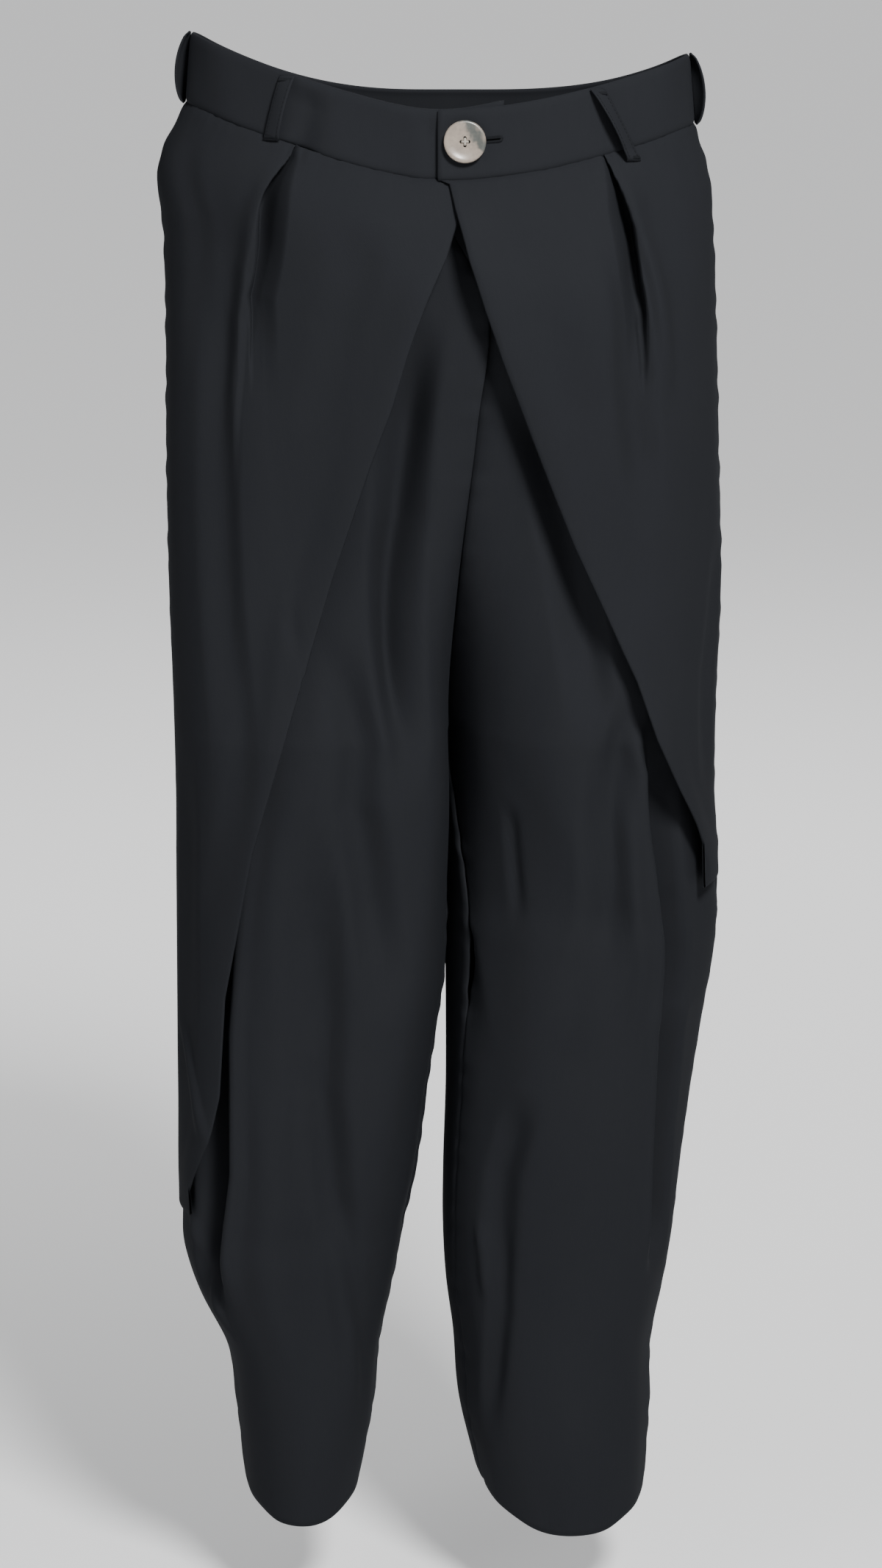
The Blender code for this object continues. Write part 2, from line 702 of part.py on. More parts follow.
def frame_at(point, outward):
    """A placing matrix with +Z along the outward direction and +Y as near up as it can be."""
    z = Vector(outward).normalized()
    x = Vector((0, 0, 1)).cross(z).normalized()
    y = z.cross(x)
    turn = Matrix((x, y, z)).transposed()
    return Matrix.Translation(Vector(point)) @ turn.to_4x4()


def turned(name, profile, segments, place, finish):
    """A closed body turned round +Z from (radius, height) pairs, then placed."""
    shape = bmesh.new()
    corners = [shape.verts.new((radius, 0.0, height)) for radius, height in profile]
    edges = [shape.edges.new(pair) for pair in zip(corners[:-1], corners[1:])]
    bmesh.ops.spin(
        shape, geom=corners + edges, cent=(0, 0, 0), axis=(0, 0, 1), angle=2 * math.pi,
        steps=segments, use_merge=True, use_duplicate=False,
    )
    bmesh.ops.remove_doubles(shape, verts=shape.verts, dist=1e-6)
    bmesh.ops.recalc_face_normals(shape, faces=shape.faces)
    bmesh.ops.transform(shape, matrix=place, verts=shape.verts)
    mesh = bpy.data.meshes.new(name)
    shape.to_mesh(mesh)
    shape.free()
    mesh.shade_smooth()
    return add_object(name, mesh, finish)


def cutter(name, make, place):
    """A hidden body that a Boolean takes away."""
    shape = bmesh.new()
    make(shape)
    bmesh.ops.transform(shape, matrix=place, verts=shape.verts)
    bmesh.ops.recalc_face_normals(shape, faces=shape.faces)
    mesh = bpy.data.meshes.new(name)
    shape.to_mesh(mesh)
    shape.free()
    tool = bpy.data.objects.new(name, mesh)
    bpy.context.scene.collection.objects.link(tool)
    tool.hide_render = True
    tool.display_type = "WIRE"
    return tool


def cut(piece, tool):
    trim = piece.modifiers.new("cut_" + tool.name, "BOOLEAN")
    trim.operation = "DIFFERENCE"
    trim.solver = "EXACT"
    trim.object = tool


def drill(radius, depth, offset):
    def make(shape):
        bmesh.ops.create_cone(
            shape, cap_ends=True, segments=12, radius1=radius, radius2=radius, depth=depth,
            matrix=Matrix.Translation(Vector(offset)),
        )

    return make


def block(size, offset):
    def make(shape):
        place = Matrix.Translation(Vector(offset)) @ Matrix.Diagonal((*size, 1))
        bmesh.ops.create_cube(shape, size=1.0, matrix=place)

    return make


def add_panels(cloth_finish):
    for leg in (RIGHT, LEFT):
        sheet(f"leg_front_{leg.name}", front_faces(leg), cloth_finish)
        sheet(f"leg_back_{leg.name}", back_faces(leg), cloth_finish)
        sheet(f"wrap_front_{leg.name}", wrap_faces(leg), cloth_finish)


def add_waistband(band_finish):
    """The band's three lengths. The left front is returned, for its buttonhole."""
    underlap_end = girth_at_x(RIGHT, UNDERLAP_END_X, 0.0)
    side = 0.5 - seam_margin(RIGHT, 0.5, 0.0)
    under = np.linspace(underlap_end, side, 17)
    sheet("waistband_front_right", band_faces(RIGHT, under, 0.0), band_finish)
    overlap_end = girth_at_x(LEFT, OVERLAP_END_X, 0.0)
    over = np.linspace(overlap_end, side, 15)
    raised = lap(ring(LEFT, over, 0.0)[0], 0.0)
    left = sheet("waistband_front_left", band_faces(LEFT, over, raised), band_finish)
    start = 0.5 + seam_margin(RIGHT, 0.5, 0.0)
    half = np.linspace(start, 1.0, 12)
    right_half = band_faces(RIGHT, half, 0.0)
    left_half = band_faces(LEFT, half[::-1], 0.0)
    right_half[:, :, -1, 0] = 0.0
    whole = np.concatenate([right_half, left_half[:, :, 1:]], axis=2)
    sheet("waistband_back", whole, band_finish)
    return left


def add_belt_loops(band_finish):
    for row in FRONT_LOOPS:
        leg = row.leg
        top = girth_at_x(leg, row.top_x, 0.0)
        bottom = girth_at_x(leg, row.bottom_x, 0.0)
        belt_loop(f"belt_loop_front_{leg.name}", leg, top, bottom, row.below_band, row.stand_off, band_finish)
    for leg in (RIGHT, LEFT):
        belt_loop(f"belt_loop_side_{leg.name}", leg, 0.5, 0.5, LOOP_ABOVE, LOOP_STAND_OFF, band_finish)
    belt_loop("belt_loop_centre_back", LEFT, 1.0, 1.0, LOOP_ABOVE, LOOP_STAND_OFF, band_finish)


def add_button(left_band, horn_finish, thread_finish):
    """The button in front of the lap, its shank through the buttonhole to the band beneath."""
    girth = girth_at_x(LEFT, BUTTON_X, 0.0)
    lean_in = BAND_LEAN_IN * (1 - BUTTON_BELOW_TOP / BAND_HEIGHT)
    on_band = cloth(LEFT, girth, 0.0, LAP_RISE - lean_in, BAND_WALL)[0]
    on_band[2] = waist_height(LEFT, girth) - BUTTON_BELOW_TOP
    tangent, speed = stretch(LEFT, np.array(girth), np.array(0.0))
    outward = (tangent[1] / speed, -tangent[0] / speed, BAND_LEAN_IN / BAND_HEIGHT)
    place = frame_at(on_band, outward)
    rim = BUTTON_RADIUS
    wall = BUTTON_WALL
    base = SHANK_GAP
    profile = (
        (0.0, base),
        (rim * 0.78, base),
        (rim * 0.95, base + wall * 0.35),
        (rim, base + wall * 0.62),
        (rim * 0.97, base + wall * 0.90),
        (rim * 0.89, base + wall),
        (rim * 0.80, base + wall * 0.92),
        (rim * 0.66, base + wall * 0.74),
        (rim * 0.40, base + wall * 0.66),
        (0.0, base + wall * 0.64),
    )
    button = turned("button", profile, 32, place, horn_finish)
    for number, (x, y) in enumerate(((-1, 0), (1, 0), (0, -1), (0, 1))):
        offset = (x * BUTTON_HOLE_SPACING, y * BUTTON_HOLE_SPACING, base + wall / 2)
        cut(button, cutter(f"thread_hole_{number}", drill(BUTTON_HOLE_RADIUS, 2 * wall, offset), place))
    to_underlap = LAP_RISE - GAP
    shank = (
        (0.0, -to_underlap),
        (SHANK_RADIUS, -to_underlap),
        (SHANK_RADIUS * 0.85, -to_underlap / 2),
        (SHANK_RADIUS, base - GAP),
        (0.0, base - GAP),
    )
    turned("button_shank", shank, 16, place, thread_finish)
    round_end = drill(SHANK_RADIUS + GAP, 3 * BAND_WALL, (0, 0, -BAND_WALL / 2))
    cut(left_band, cutter("buttonhole_eye", round_end, place))
    slit = (BUTTONHOLE_LENGTH, BUTTONHOLE_SLIT, 3 * BAND_WALL)
    cut(left_band, cutter("buttonhole_slit", block(slit, (BUTTONHOLE_LENGTH / 2, 0, -BAND_WALL / 2)), place))


def main():
    clear_scene()
    crepe = material("charcoal_crepe", (0.0225, 0.0260, 0.0310), 0.72)
    band = material("charcoal_crepe_band", (0.0225, 0.0260, 0.0310), 0.70)
    horn = material("horn_effect_resin", (0.40, 0.34, 0.28), 0.32)
    thread = material("pale_thread", (0.52, 0.50, 0.46), 0.85)
    add_panels(crepe)
    left_band = add_waistband(band)
    add_belt_loops(band)
    add_button(left_band, horn, thread)


main()
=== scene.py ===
"""Pleated balloon trousers in dark crepe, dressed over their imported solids.

Metres, +Z up, the front faces -Y, and the origin is the middle of the waist opening. Left and right are
the wearer's, so the wearer's left is at +X.

Each leg is one ring of cloth at every level below the waistband: half of a body ring at the waist, which
closes into a leg ring at the crotch. A place on a ring is its share of the girth: 0 at the centre front
or inseam, 0.5 at the side seam and 1 at the centre back or inseam.
"""

import logging
import math
from dataclasses import dataclass, replace
from enum import Enum
from typing import Any, NamedTuple, Sequence

import bpy
import numpy as np
from mathutils import Matrix, Vector


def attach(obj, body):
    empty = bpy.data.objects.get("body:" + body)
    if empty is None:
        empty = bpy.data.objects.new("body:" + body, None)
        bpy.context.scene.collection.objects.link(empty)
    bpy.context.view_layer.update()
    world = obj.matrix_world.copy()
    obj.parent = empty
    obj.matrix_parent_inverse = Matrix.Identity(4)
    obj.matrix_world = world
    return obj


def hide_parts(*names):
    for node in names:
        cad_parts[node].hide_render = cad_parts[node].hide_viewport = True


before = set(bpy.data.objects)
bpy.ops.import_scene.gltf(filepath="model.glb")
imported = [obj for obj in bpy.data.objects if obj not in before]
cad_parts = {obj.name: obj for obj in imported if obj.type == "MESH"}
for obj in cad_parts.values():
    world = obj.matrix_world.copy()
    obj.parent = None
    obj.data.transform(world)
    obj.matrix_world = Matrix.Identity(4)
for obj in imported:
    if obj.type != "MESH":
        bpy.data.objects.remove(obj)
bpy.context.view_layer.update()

LOG = logging.getLogger("trousers")
Array = np.ndarray
Triple = tuple[float, float, float]
Path = tuple[tuple[float, float], ...]

BODY = "root"

# The gap between pieces at a seam, the waistband's height, and how far its top edge leans in.
SEAM_GAP = 0.0003
BAND_HEIGHT = 0.043
BAND_LEAN = 0.004

# A direction that no strand of thread follows, and the angle past which a cut edge stays sharp.
ASIDE = (0.3, 0.1, 0.9)
SHARP_ANGLE = math.radians(50)


class Side(Enum):
    """The wearer's side of a leg, with its sign along X."""

    RIGHT = -1
    LEFT = 1


class Face(Enum):
    """How a fold's path is written: by x on the front, or by share of the girth."""

    FRONT = "front"
    GIRTH = "girth"


class Section(NamedTuple):
    """Half-widths and depths of the cloth at one level, from the centre line outwards."""

    level: float
    inner: float
    outer: float
    front: float
    back: float


class WaistLine(NamedTuple):
    """Height of the band's top edge: at the centre, its rise to the side, and how late it rises."""

    centre: float
    rise: float
    power: float


class Lean(NamedTuple):
    """How far the centre front swings towards the wearer's left at one level."""

    level: float
    shift: float


class UnderDepth(NamedTuple):
    """How far the leg front lies inside the wrap panel at one level."""

    level: float
    depth: float


class Wave(NamedTuple):
    """One slow unevenness of the cloth: waves round the girth, waves a metre down, and its height."""

    around: float
    down: float
    phase: float
    height: float


CENTRE_LEAN = (
    Lean(0.000, 0.000),
    Lean(-0.040, 0.004),
    Lean(-0.110, 0.028),
    Lean(-0.190, 0.025),
    Lean(-0.290, 0.021),
    Lean(-0.400, 0.023),
    Lean(-0.480, 0.019),
    Lean(-0.560, 0.012),
    Lean(-0.640, 0.006),
    Lean(-0.720, 0.002),
    Lean(-0.800, 0.000),
)

UNDER_DEPTHS = (
    UnderDepth(0.000, 0.0035),
    UnderDepth(-0.030, 0.0110),
    UnderDepth(-0.080, 0.0160),
    UnderDepth(-0.160, 0.0140),
    UnderDepth(-0.260, 0.0100),
    UnderDepth(-0.380, 0.0080),
    UnderDepth(-0.480, 0.0075),
    UnderDepth(-0.600, 0.0070),
    UnderDepth(-0.700, 0.0050),
    UnderDepth(-0.740, 0.0035),
    UnderDepth(-0.790, 0.0000),
)

DRIFT = (
    Wave(2.3, 1.10, 0.12, 0.00070),
    Wave(4.1, -1.70, 0.47, 0.00050),
    Wave(7.3, 2.60, 0.81, 0.00030),
    Wave(11.9, 0.90, 0.33, 0.00016),
)

HEM_WAVES = (Wave(3.0, 0.0, 0.20, 0.00090), Wave(7.0, 0.0, 0.55, 0.00054))


class Pucker(NamedTuple):
    """One small wave of a seam's puckers: its share, its turn for each metre, and where it starts."""

    share: float
    turn: float
    phase: float


PUCKERS = (Pucker(1.0, 271.0, 1.3), Pucker(0.7, 393.0, 4.1), Pucker(0.5, 127.0, 0.0))


def eased(share: Any) -> Array:
    """A smooth step.

    Args:
        share: Where to read the step; it is flat below 0 and above 1.

    Returns:
        0 to 1, with level ends.
    """
    share = np.clip(share, 0.0, 1.0)
    return share * share * (3.0 - 2.0 * share)


def bump(distance: Any, width: float) -> Array:
    """A round hill, 1 at no distance and almost gone at twice its width.

    Args:
        distance: Distance from the middle of the hill.
        width: Where the hill has fallen to about a third.

    Returns:
        The hill's height.
    """
    return np.exp(-((np.asarray(distance, float) / width) ** 2))


def read_table(rows: Sequence, column: str, level: Any) -> Array:
    """The named column of a table at any level, on a smooth curve through its rows.

    Args:
        rows: Named tuples with a level, from the highest to the lowest.
        column: The column to read.
        level: One level or an array of them.

    Returns:
        The column's value at each level.
    """
    levels = np.array([row.level for row in reversed(rows)])
    values = np.array([getattr(row, column) for row in reversed(rows)])
    slopes = np.gradient(values, levels)
    level = np.clip(np.asarray(level, float), levels[0], levels[-1])
    index = np.clip(np.searchsorted(levels, level) - 1, 0, len(levels) - 2)
    step = levels[index + 1] - levels[index]
    t = (level - levels[index]) / step
    start = (1 + 2 * t) * (1 - t) ** 2 * values[index] + t * (1 - t) ** 2 * step * slopes[index]
    end = t * t * (3 - 2 * t) * values[index + 1] + t * t * (t - 1) * step * slopes[index + 1]
    return start + end


def along(path: Sequence, level: Any, column: int = 1) -> Array:
    """A path of (level, value) rows read at a level, held at its ends.

    Args:
        path: Rows from the highest to the lowest.
        level: One level or an array of them.
        column: Which value of a row to read.

    Returns:
        The value at each level.
    """
    levels = np.array([point[0] for point in reversed(path)])
    values = np.array([point[column] for point in reversed(path)])
    return np.interp(level, levels, values)


def columns(stops: Sequence[float], counts: Sequence[int]) -> Array:
    """Places along a row: the stops, with even steps between them.

    Args:
        stops: Places that the row must pass.
        counts: How many steps each stretch has.

    Returns:
        All the places, from the first stop to the last.
    """
    parts = [np.linspace(a, b, n, endpoint=False) for a, b, n in zip(stops[:-1], stops[1:], counts)]
    return np.append(np.concatenate(parts), stops[-1])


def ripple(waves: Sequence[Wave], girth: Any, level: Any) -> Array:
    """The sum of some waves.

    Args:
        waves: The waves.
        girth: Shares of the girth.
        level: Levels.

    Returns:
        The height of the cloth's unevenness at each place.
    """
    total = np.zeros(np.broadcast(girth, level).shape)
    for wave in waves:
        turns = girth * wave.around + level * wave.down + wave.phase
        total = total + wave.height * np.sin(2 * math.pi * turns)
    return total


def in_scene(name: str, data: Any) -> bpy.types.Object:
    """An object linked to the scene.

    Args:
        name: Its name.
        data: Its mesh, light or camera.

    Returns:
        The object.
    """
    made = bpy.data.objects.new(name, data)
    bpy.context.scene.collection.objects.link(made)
    return made


@dataclass(frozen=True)
class Fold:
    """A trough (depth > 0) or ridge (depth < 0) laid along a path.

    The inner width is its bank towards the centre front, the outer width the bank towards the side. With a
    flare it opens from a point: that is the share of its length over which it widens and deepens. The tuck
    is how far its bottom slides under its outer bank, for each metre of depth. The clear sizes are those of
    the broader trough that the panel below has under it.
    """

    face: Face
    path: Path
    depth: float
    inner_width: float
    outer_width: float
    start: float = 0.25
    end: float = 0.35
    flare: float = 0.0
    squareness: float = 2.0
    tuck: float = 0.0
    point: float = 0.12
    opening_power: float = 0.6
    clear_depth: float = 0.006
    clear_width: float = 0.034
    clear_start: float = 0.14

    def girths(self, leg: "Leg") -> Path:
        """The fold's path on a leg.

        Args:
            leg: The leg that the fold lies on.

        Returns:
            The path as (level, share of the girth) pairs.
        """
        if self.face is Face.GIRTH:
            return self.path
        return tuple((level, leg.girth_at_x(x, min(level, 0.0))) for level, x in self.path)

    def push(self, leg: "Leg", girth: Array, level: Array, speed: Array) -> Array:
        """How far the fold pushes the cloth out.

        Args:
            leg: The leg that the fold lies on.
            girth: Shares of the girth.
            level: Levels.
            speed: Metres for a whole girth at each place.

        Returns:
            Metres along the ring's normal: below 0 in a trough.
        """
        top, bottom = self.path[0][0], self.path[-1][0]
        length = top - bottom
        opened = 1.0
        if self.flare:
            opened = self.point + (1 - self.point) * eased((top - level) / (self.flare * length))
        across = (girth - along(self.girths(leg), level)) * speed
        width = np.where(across < 0, self.inner_width, self.outer_width) * opened
        shape = np.clip(1 - np.abs(across / width) ** self.squareness, 0, None) ** 2
        shape = shape * opened**self.opening_power
        starts = eased((top - level) / (self.start * length))
        ends = eased((level - bottom) / (self.end * length))
        return -self.depth * shape * starts * ends

    def cleared(self) -> "Fold":
        """The trough that keeps the panel below clear of this one.

        Returns:
            A broader and deeper fold on the same path.
        """
        return replace(
            self,
            depth=self.depth + self.clear_depth,
            inner_width=self.clear_width,
            outer_width=self.clear_width,
            start=self.clear_start,
            flare=0.0,
        )


@dataclass(frozen=True)
class Leg:
    """The filled-out form of one side of the trousers, as rings of cloth."""

    side: Side
    sections: tuple[Section, ...]
    front_waist: WaistLine
    back_waist: WaistLine
    inseam_turn: float
    fullness: float
    wrap_edge: Path
    wrap_end: float
    edge_lift_start: float
    outer_fold: tuple[Triple, ...]
    hem_tilt_forward: float
    hem_tilt_outward: float
    pleat: Fold
    wrap_folds: tuple[Fold, ...]
    front_folds: tuple[Fold, ...]
    back_folds: tuple[Fold, ...]
    join_start: float = -0.070
    crotch: float = -0.400
    hem: float = -0.940
    inseam_turn_length: float = 0.160
    round_hem_length: float = 0.240
    seam_fade: float = -0.150
    hem_fade: float = -0.800
    closing_power: float = 1.8
    swing_depth: float = 0.100
    swing_most: float = 1.1
    waist_ease: float = 0.10
    seam_reach: float = 0.070
    fold_ridge: float = 0.0060
    fold_depth: float = 0.0210
    fold_width: float = 0.0140
    fold_bank: float = 0.0240
    least_bank: float = 0.0020
    fold_start: float = 0.100
    fold_end: float = 0.050
    drift_start: float = 0.050
    girth_step: float = 0.002
    front_shares: tuple[float, float, int] = (-0.12, 0.5, 249)

    def ring(self, girth: Any, level: Any) -> tuple[Array, Array]:
        """The cloth's place on a ring.

        Args:
            girth: Shares of the girth.
            level: Levels below the waistband seam.

        Returns:
            The x and the y of each place.
        """
        girth, level = np.broadcast_arrays(np.asarray(girth, float), np.asarray(level, float))
        inner = read_table(self.sections, "inner", level)
        outer = read_table(self.sections, "outer", level)
        front = read_table(self.sections, "front", level)
        back = read_table(self.sections, "back", level)
        share = (level - self.join_start) / (self.crotch - self.join_start)
        closed = np.clip(share, 0, 1) ** self.closing_power
        turn = self.inseam_turn * eased((self.crotch - level) / self.inseam_turn_length)
        front_angle = turn + (math.pi - turn) * 2 * girth
        back_angle = math.pi + (math.pi + turn) * (2 * girth - 1)
        leg_angle = np.where(girth < 0.5, front_angle, back_angle)
        body_angle = math.pi * (0.5 + girth)
        body_out = -outer * np.cos(body_angle)
        body_y = self.depth_of(np.sin(body_angle), front, back)
        fullness = 2.0 + (self.fullness - 2.0) * eased((level - self.hem) / self.round_hem_length)
        leg_out = (inner + outer) / 2 - (outer - inner) / 2 * self.swell(np.cos(leg_angle), fullness)
        leg_y = self.depth_of(self.swell(np.sin(leg_angle), fullness), front, back)
        out = body_out + (leg_out - body_out) * closed
        y = body_y + (leg_y - body_y) * closed
        swing = read_table(CENTRE_LEAN, "shift", level) * np.cos(math.pi * np.clip(girth, 0, 1)) ** 2
        x = self.side.value * (out + SEAM_GAP / 2)
        return x + swing * np.clip(-y / self.swing_depth, 0, self.swing_most), y

    @staticmethod
    def swell(wave: Array, fullness: Array) -> Array:
        """A cosine or sine bent into the fuller curve of a superellipse."""
        return np.sign(wave) * np.abs(wave) ** (2.0 / fullness)

    @staticmethod
    def depth_of(wave: Array, front: Array, back: Array) -> Array:
        """Depth of a ring: forwards where the wave is positive and back where it is negative."""
        return np.where(wave > 0, front * wave, -back * wave)

    def stretch(self, girth: Any, level: Any) -> tuple[Array, Array]:
        """How the ring runs on.

        Args:
            girth: Shares of the girth.
            level: Levels.

        Returns:
            The ring's tangent, and its length in metres for a whole girth.
        """
        girth = np.asarray(girth, float)
        ahead_x, ahead_y = self.ring(girth + self.girth_step, level)
        behind_x, behind_y = self.ring(girth - self.girth_step, level)
        tangent = np.stack([ahead_x - behind_x, ahead_y - behind_y], -1) / (2 * self.girth_step)
        return tangent, np.linalg.norm(tangent, axis=-1)

    def speed(self, girth: float, level: float) -> float:
        """Metres for a whole girth at one place."""
        return float(self.stretch(np.array(girth), np.array(level))[1])

    def half_gap(self, girth: float, level: float) -> float:
        """Half of a seam's gap at one place, as a share of the girth."""
        return SEAM_GAP / 2 / self.speed(girth, level)

    def girth_at_x(self, x: float, level: float) -> float:
        """Finds a place on the front by its x.

        Args:
            x: How far it lies towards the wearer's left.
            level: Its level.

        Returns:
            The share of the girth where the ring passes it.
        """
        shares = np.linspace(*self.front_shares)
        xs = self.ring(shares, level)[0] * self.side.value
        return float(np.interp(x * self.side.value, np.maximum.accumulate(xs), shares))

    def edge_girth(self, level: float) -> float:
        """Where the wrap's free edge passes a level."""
        return self.girth_at_x(float(along(self.wrap_edge, level)), level)

    def outer_fold_girth(self, level: Any, column: int) -> Array:
        """The girth of the outer fold's crest (column 1) or valley (column 2) at a level."""
        path = tuple((row[0], self.girth_at_x(row[column], row[0])) for row in self.outer_fold)
        return along(path, level)

    def outer_fold_push(self, girth: Array, level: Array, speed: Array) -> Array:
        """The crisp outer fold of a leg front and the deep valley beside it.

        Args:
            girth: Shares of the girth.
            level: Levels.
            speed: Metres for a whole girth at each place.

        Returns:
            Metres along the ring's normal.
        """
        ridge = self.outer_fold_girth(level, 1)
        trough = self.outer_fold_girth(level, 2)
        from_ridge = (girth - ridge) * speed
        from_trough = (girth - trough) * speed
        top, bottom = self.outer_fold[0][0], self.outer_fold[-1][0]
        ends = eased((top - level) / self.fold_start) * eased((level - bottom) / self.fold_end)
        inner_bank = np.abs(trough - ridge) * speed + self.least_bank
        bank = np.where(from_trough < 0, inner_bank, self.fold_bank)
        valley = np.clip(1 - (from_trough / bank) ** 2, 0, None) ** 1.5
        crest = np.clip(1 - (from_ridge / self.fold_width) ** 2, 0, None) ** 2
        return ends * (self.fold_ridge * crest - self.fold_depth * valley)

    def folded(self, folds: Sequence[Fold], girth: Array, level: Array) -> Array:
        """How far some folds push the cloth out together.

        Args:
            folds: The folds.
            girth: Shares of the girth.
            level: Levels.

        Returns:
            Metres along the ring's normal.
        """
        _, speed = self.stretch(girth, level)
        return sum(fold.push(self, girth, level, speed) for fold in folds)

    def waist_height(self, girth: Any) -> Array:
        """Height of the band's top edge.

        Args:
            girth: Shares of the girth.

        Returns:
            The height at each place.
        """
        out = np.hypot(np.cos(math.pi * (0.5 + np.asarray(girth))), self.waist_ease) - self.waist_ease
        out = out / (math.hypot(1.0, self.waist_ease) - self.waist_ease)
        front = self.front_waist.centre + self.front_waist.rise * out**self.front_waist.power
        side_height = self.front_waist.centre + self.front_waist.rise
        back_rise = side_height - self.back_waist.centre
        back = self.back_waist.centre + back_rise * out**self.back_waist.power
        return np.where(np.asarray(girth) < 0.5, front, back)

    def height(self, girth: Array, level: Array) -> Array:
        """Height of the cloth: the curve of the waist seam fades into level rows and the hem tilts.

        Args:
            girth: Shares of the girth.
            level: Levels.

        Returns:
            The height at each place.
        """
        seam = self.waist_height(girth) - BAND_HEIGHT - SEAM_GAP
        at_waist = np.clip(1 - level / self.seam_fade, 0, 1) ** 2
        x, y = self.ring(girth, self.hem)
        last = self.sections[-1]
        outward = self.side.value * x - (last.inner + last.outer) / 2
        tilt = self.hem_tilt_forward * y + self.hem_tilt_outward * outward
        at_hem = np.clip((level - self.hem_fade) / (self.hem - self.hem_fade), 0, 1) ** 1.5
        return level + seam * at_waist + (tilt + ripple(HEM_WAVES, girth, level)) * at_hem

    def centre_ease(self, girth: Array) -> Array:
        """0 at the centre seams and inseam, and 1 a little way from them."""
        return eased(np.minimum(np.abs(girth), np.abs(1 - girth)) / self.seam_reach)

    def drift(self, girth: Array, level: Array) -> Array:
        """The slow unevenness of the hanging cloth, none at the centre seams or at the waist."""
        return ripple(DRIFT, girth, level) * self.centre_ease(girth) * eased(-level / self.drift_start)

    def cloth(self, girth: Any, level: Any, out: Any, wall: Any) -> tuple[Array, Array]:
        """Both faces of the cloth, pushed out from its ring.

        Above the crotch the push has no sideways part at the centre seams, so that the halves meet.

        Args:
            girth: Shares of the girth.
            level: Levels.
            out: How far the outer face stands off the ring.
            wall: Thickness of the cloth.

        Returns:
            Points of the outer face and of the inner face.
        """
        girth, level = np.broadcast_arrays(np.asarray(girth, float), np.asarray(level, float))
        x, y = self.ring(girth, level)
        tangent, speed = self.stretch(girth, level)
        normal_x = self.side.value * tangent[..., 1] / speed
        normal_y = -self.side.value * tangent[..., 0] / speed
        sideways = np.where(level > self.crotch, self.centre_ease(girth), 1.0)
        z = self.height(girth, level)
        outer = np.stack([x + out * sideways * normal_x, y + out * normal_y, z], -1)
        wall = np.broadcast_to(wall, z.shape)[..., None]
        inner = outer - wall * np.stack([normal_x, normal_y, np.zeros_like(z)], -1)
        return outer, inner


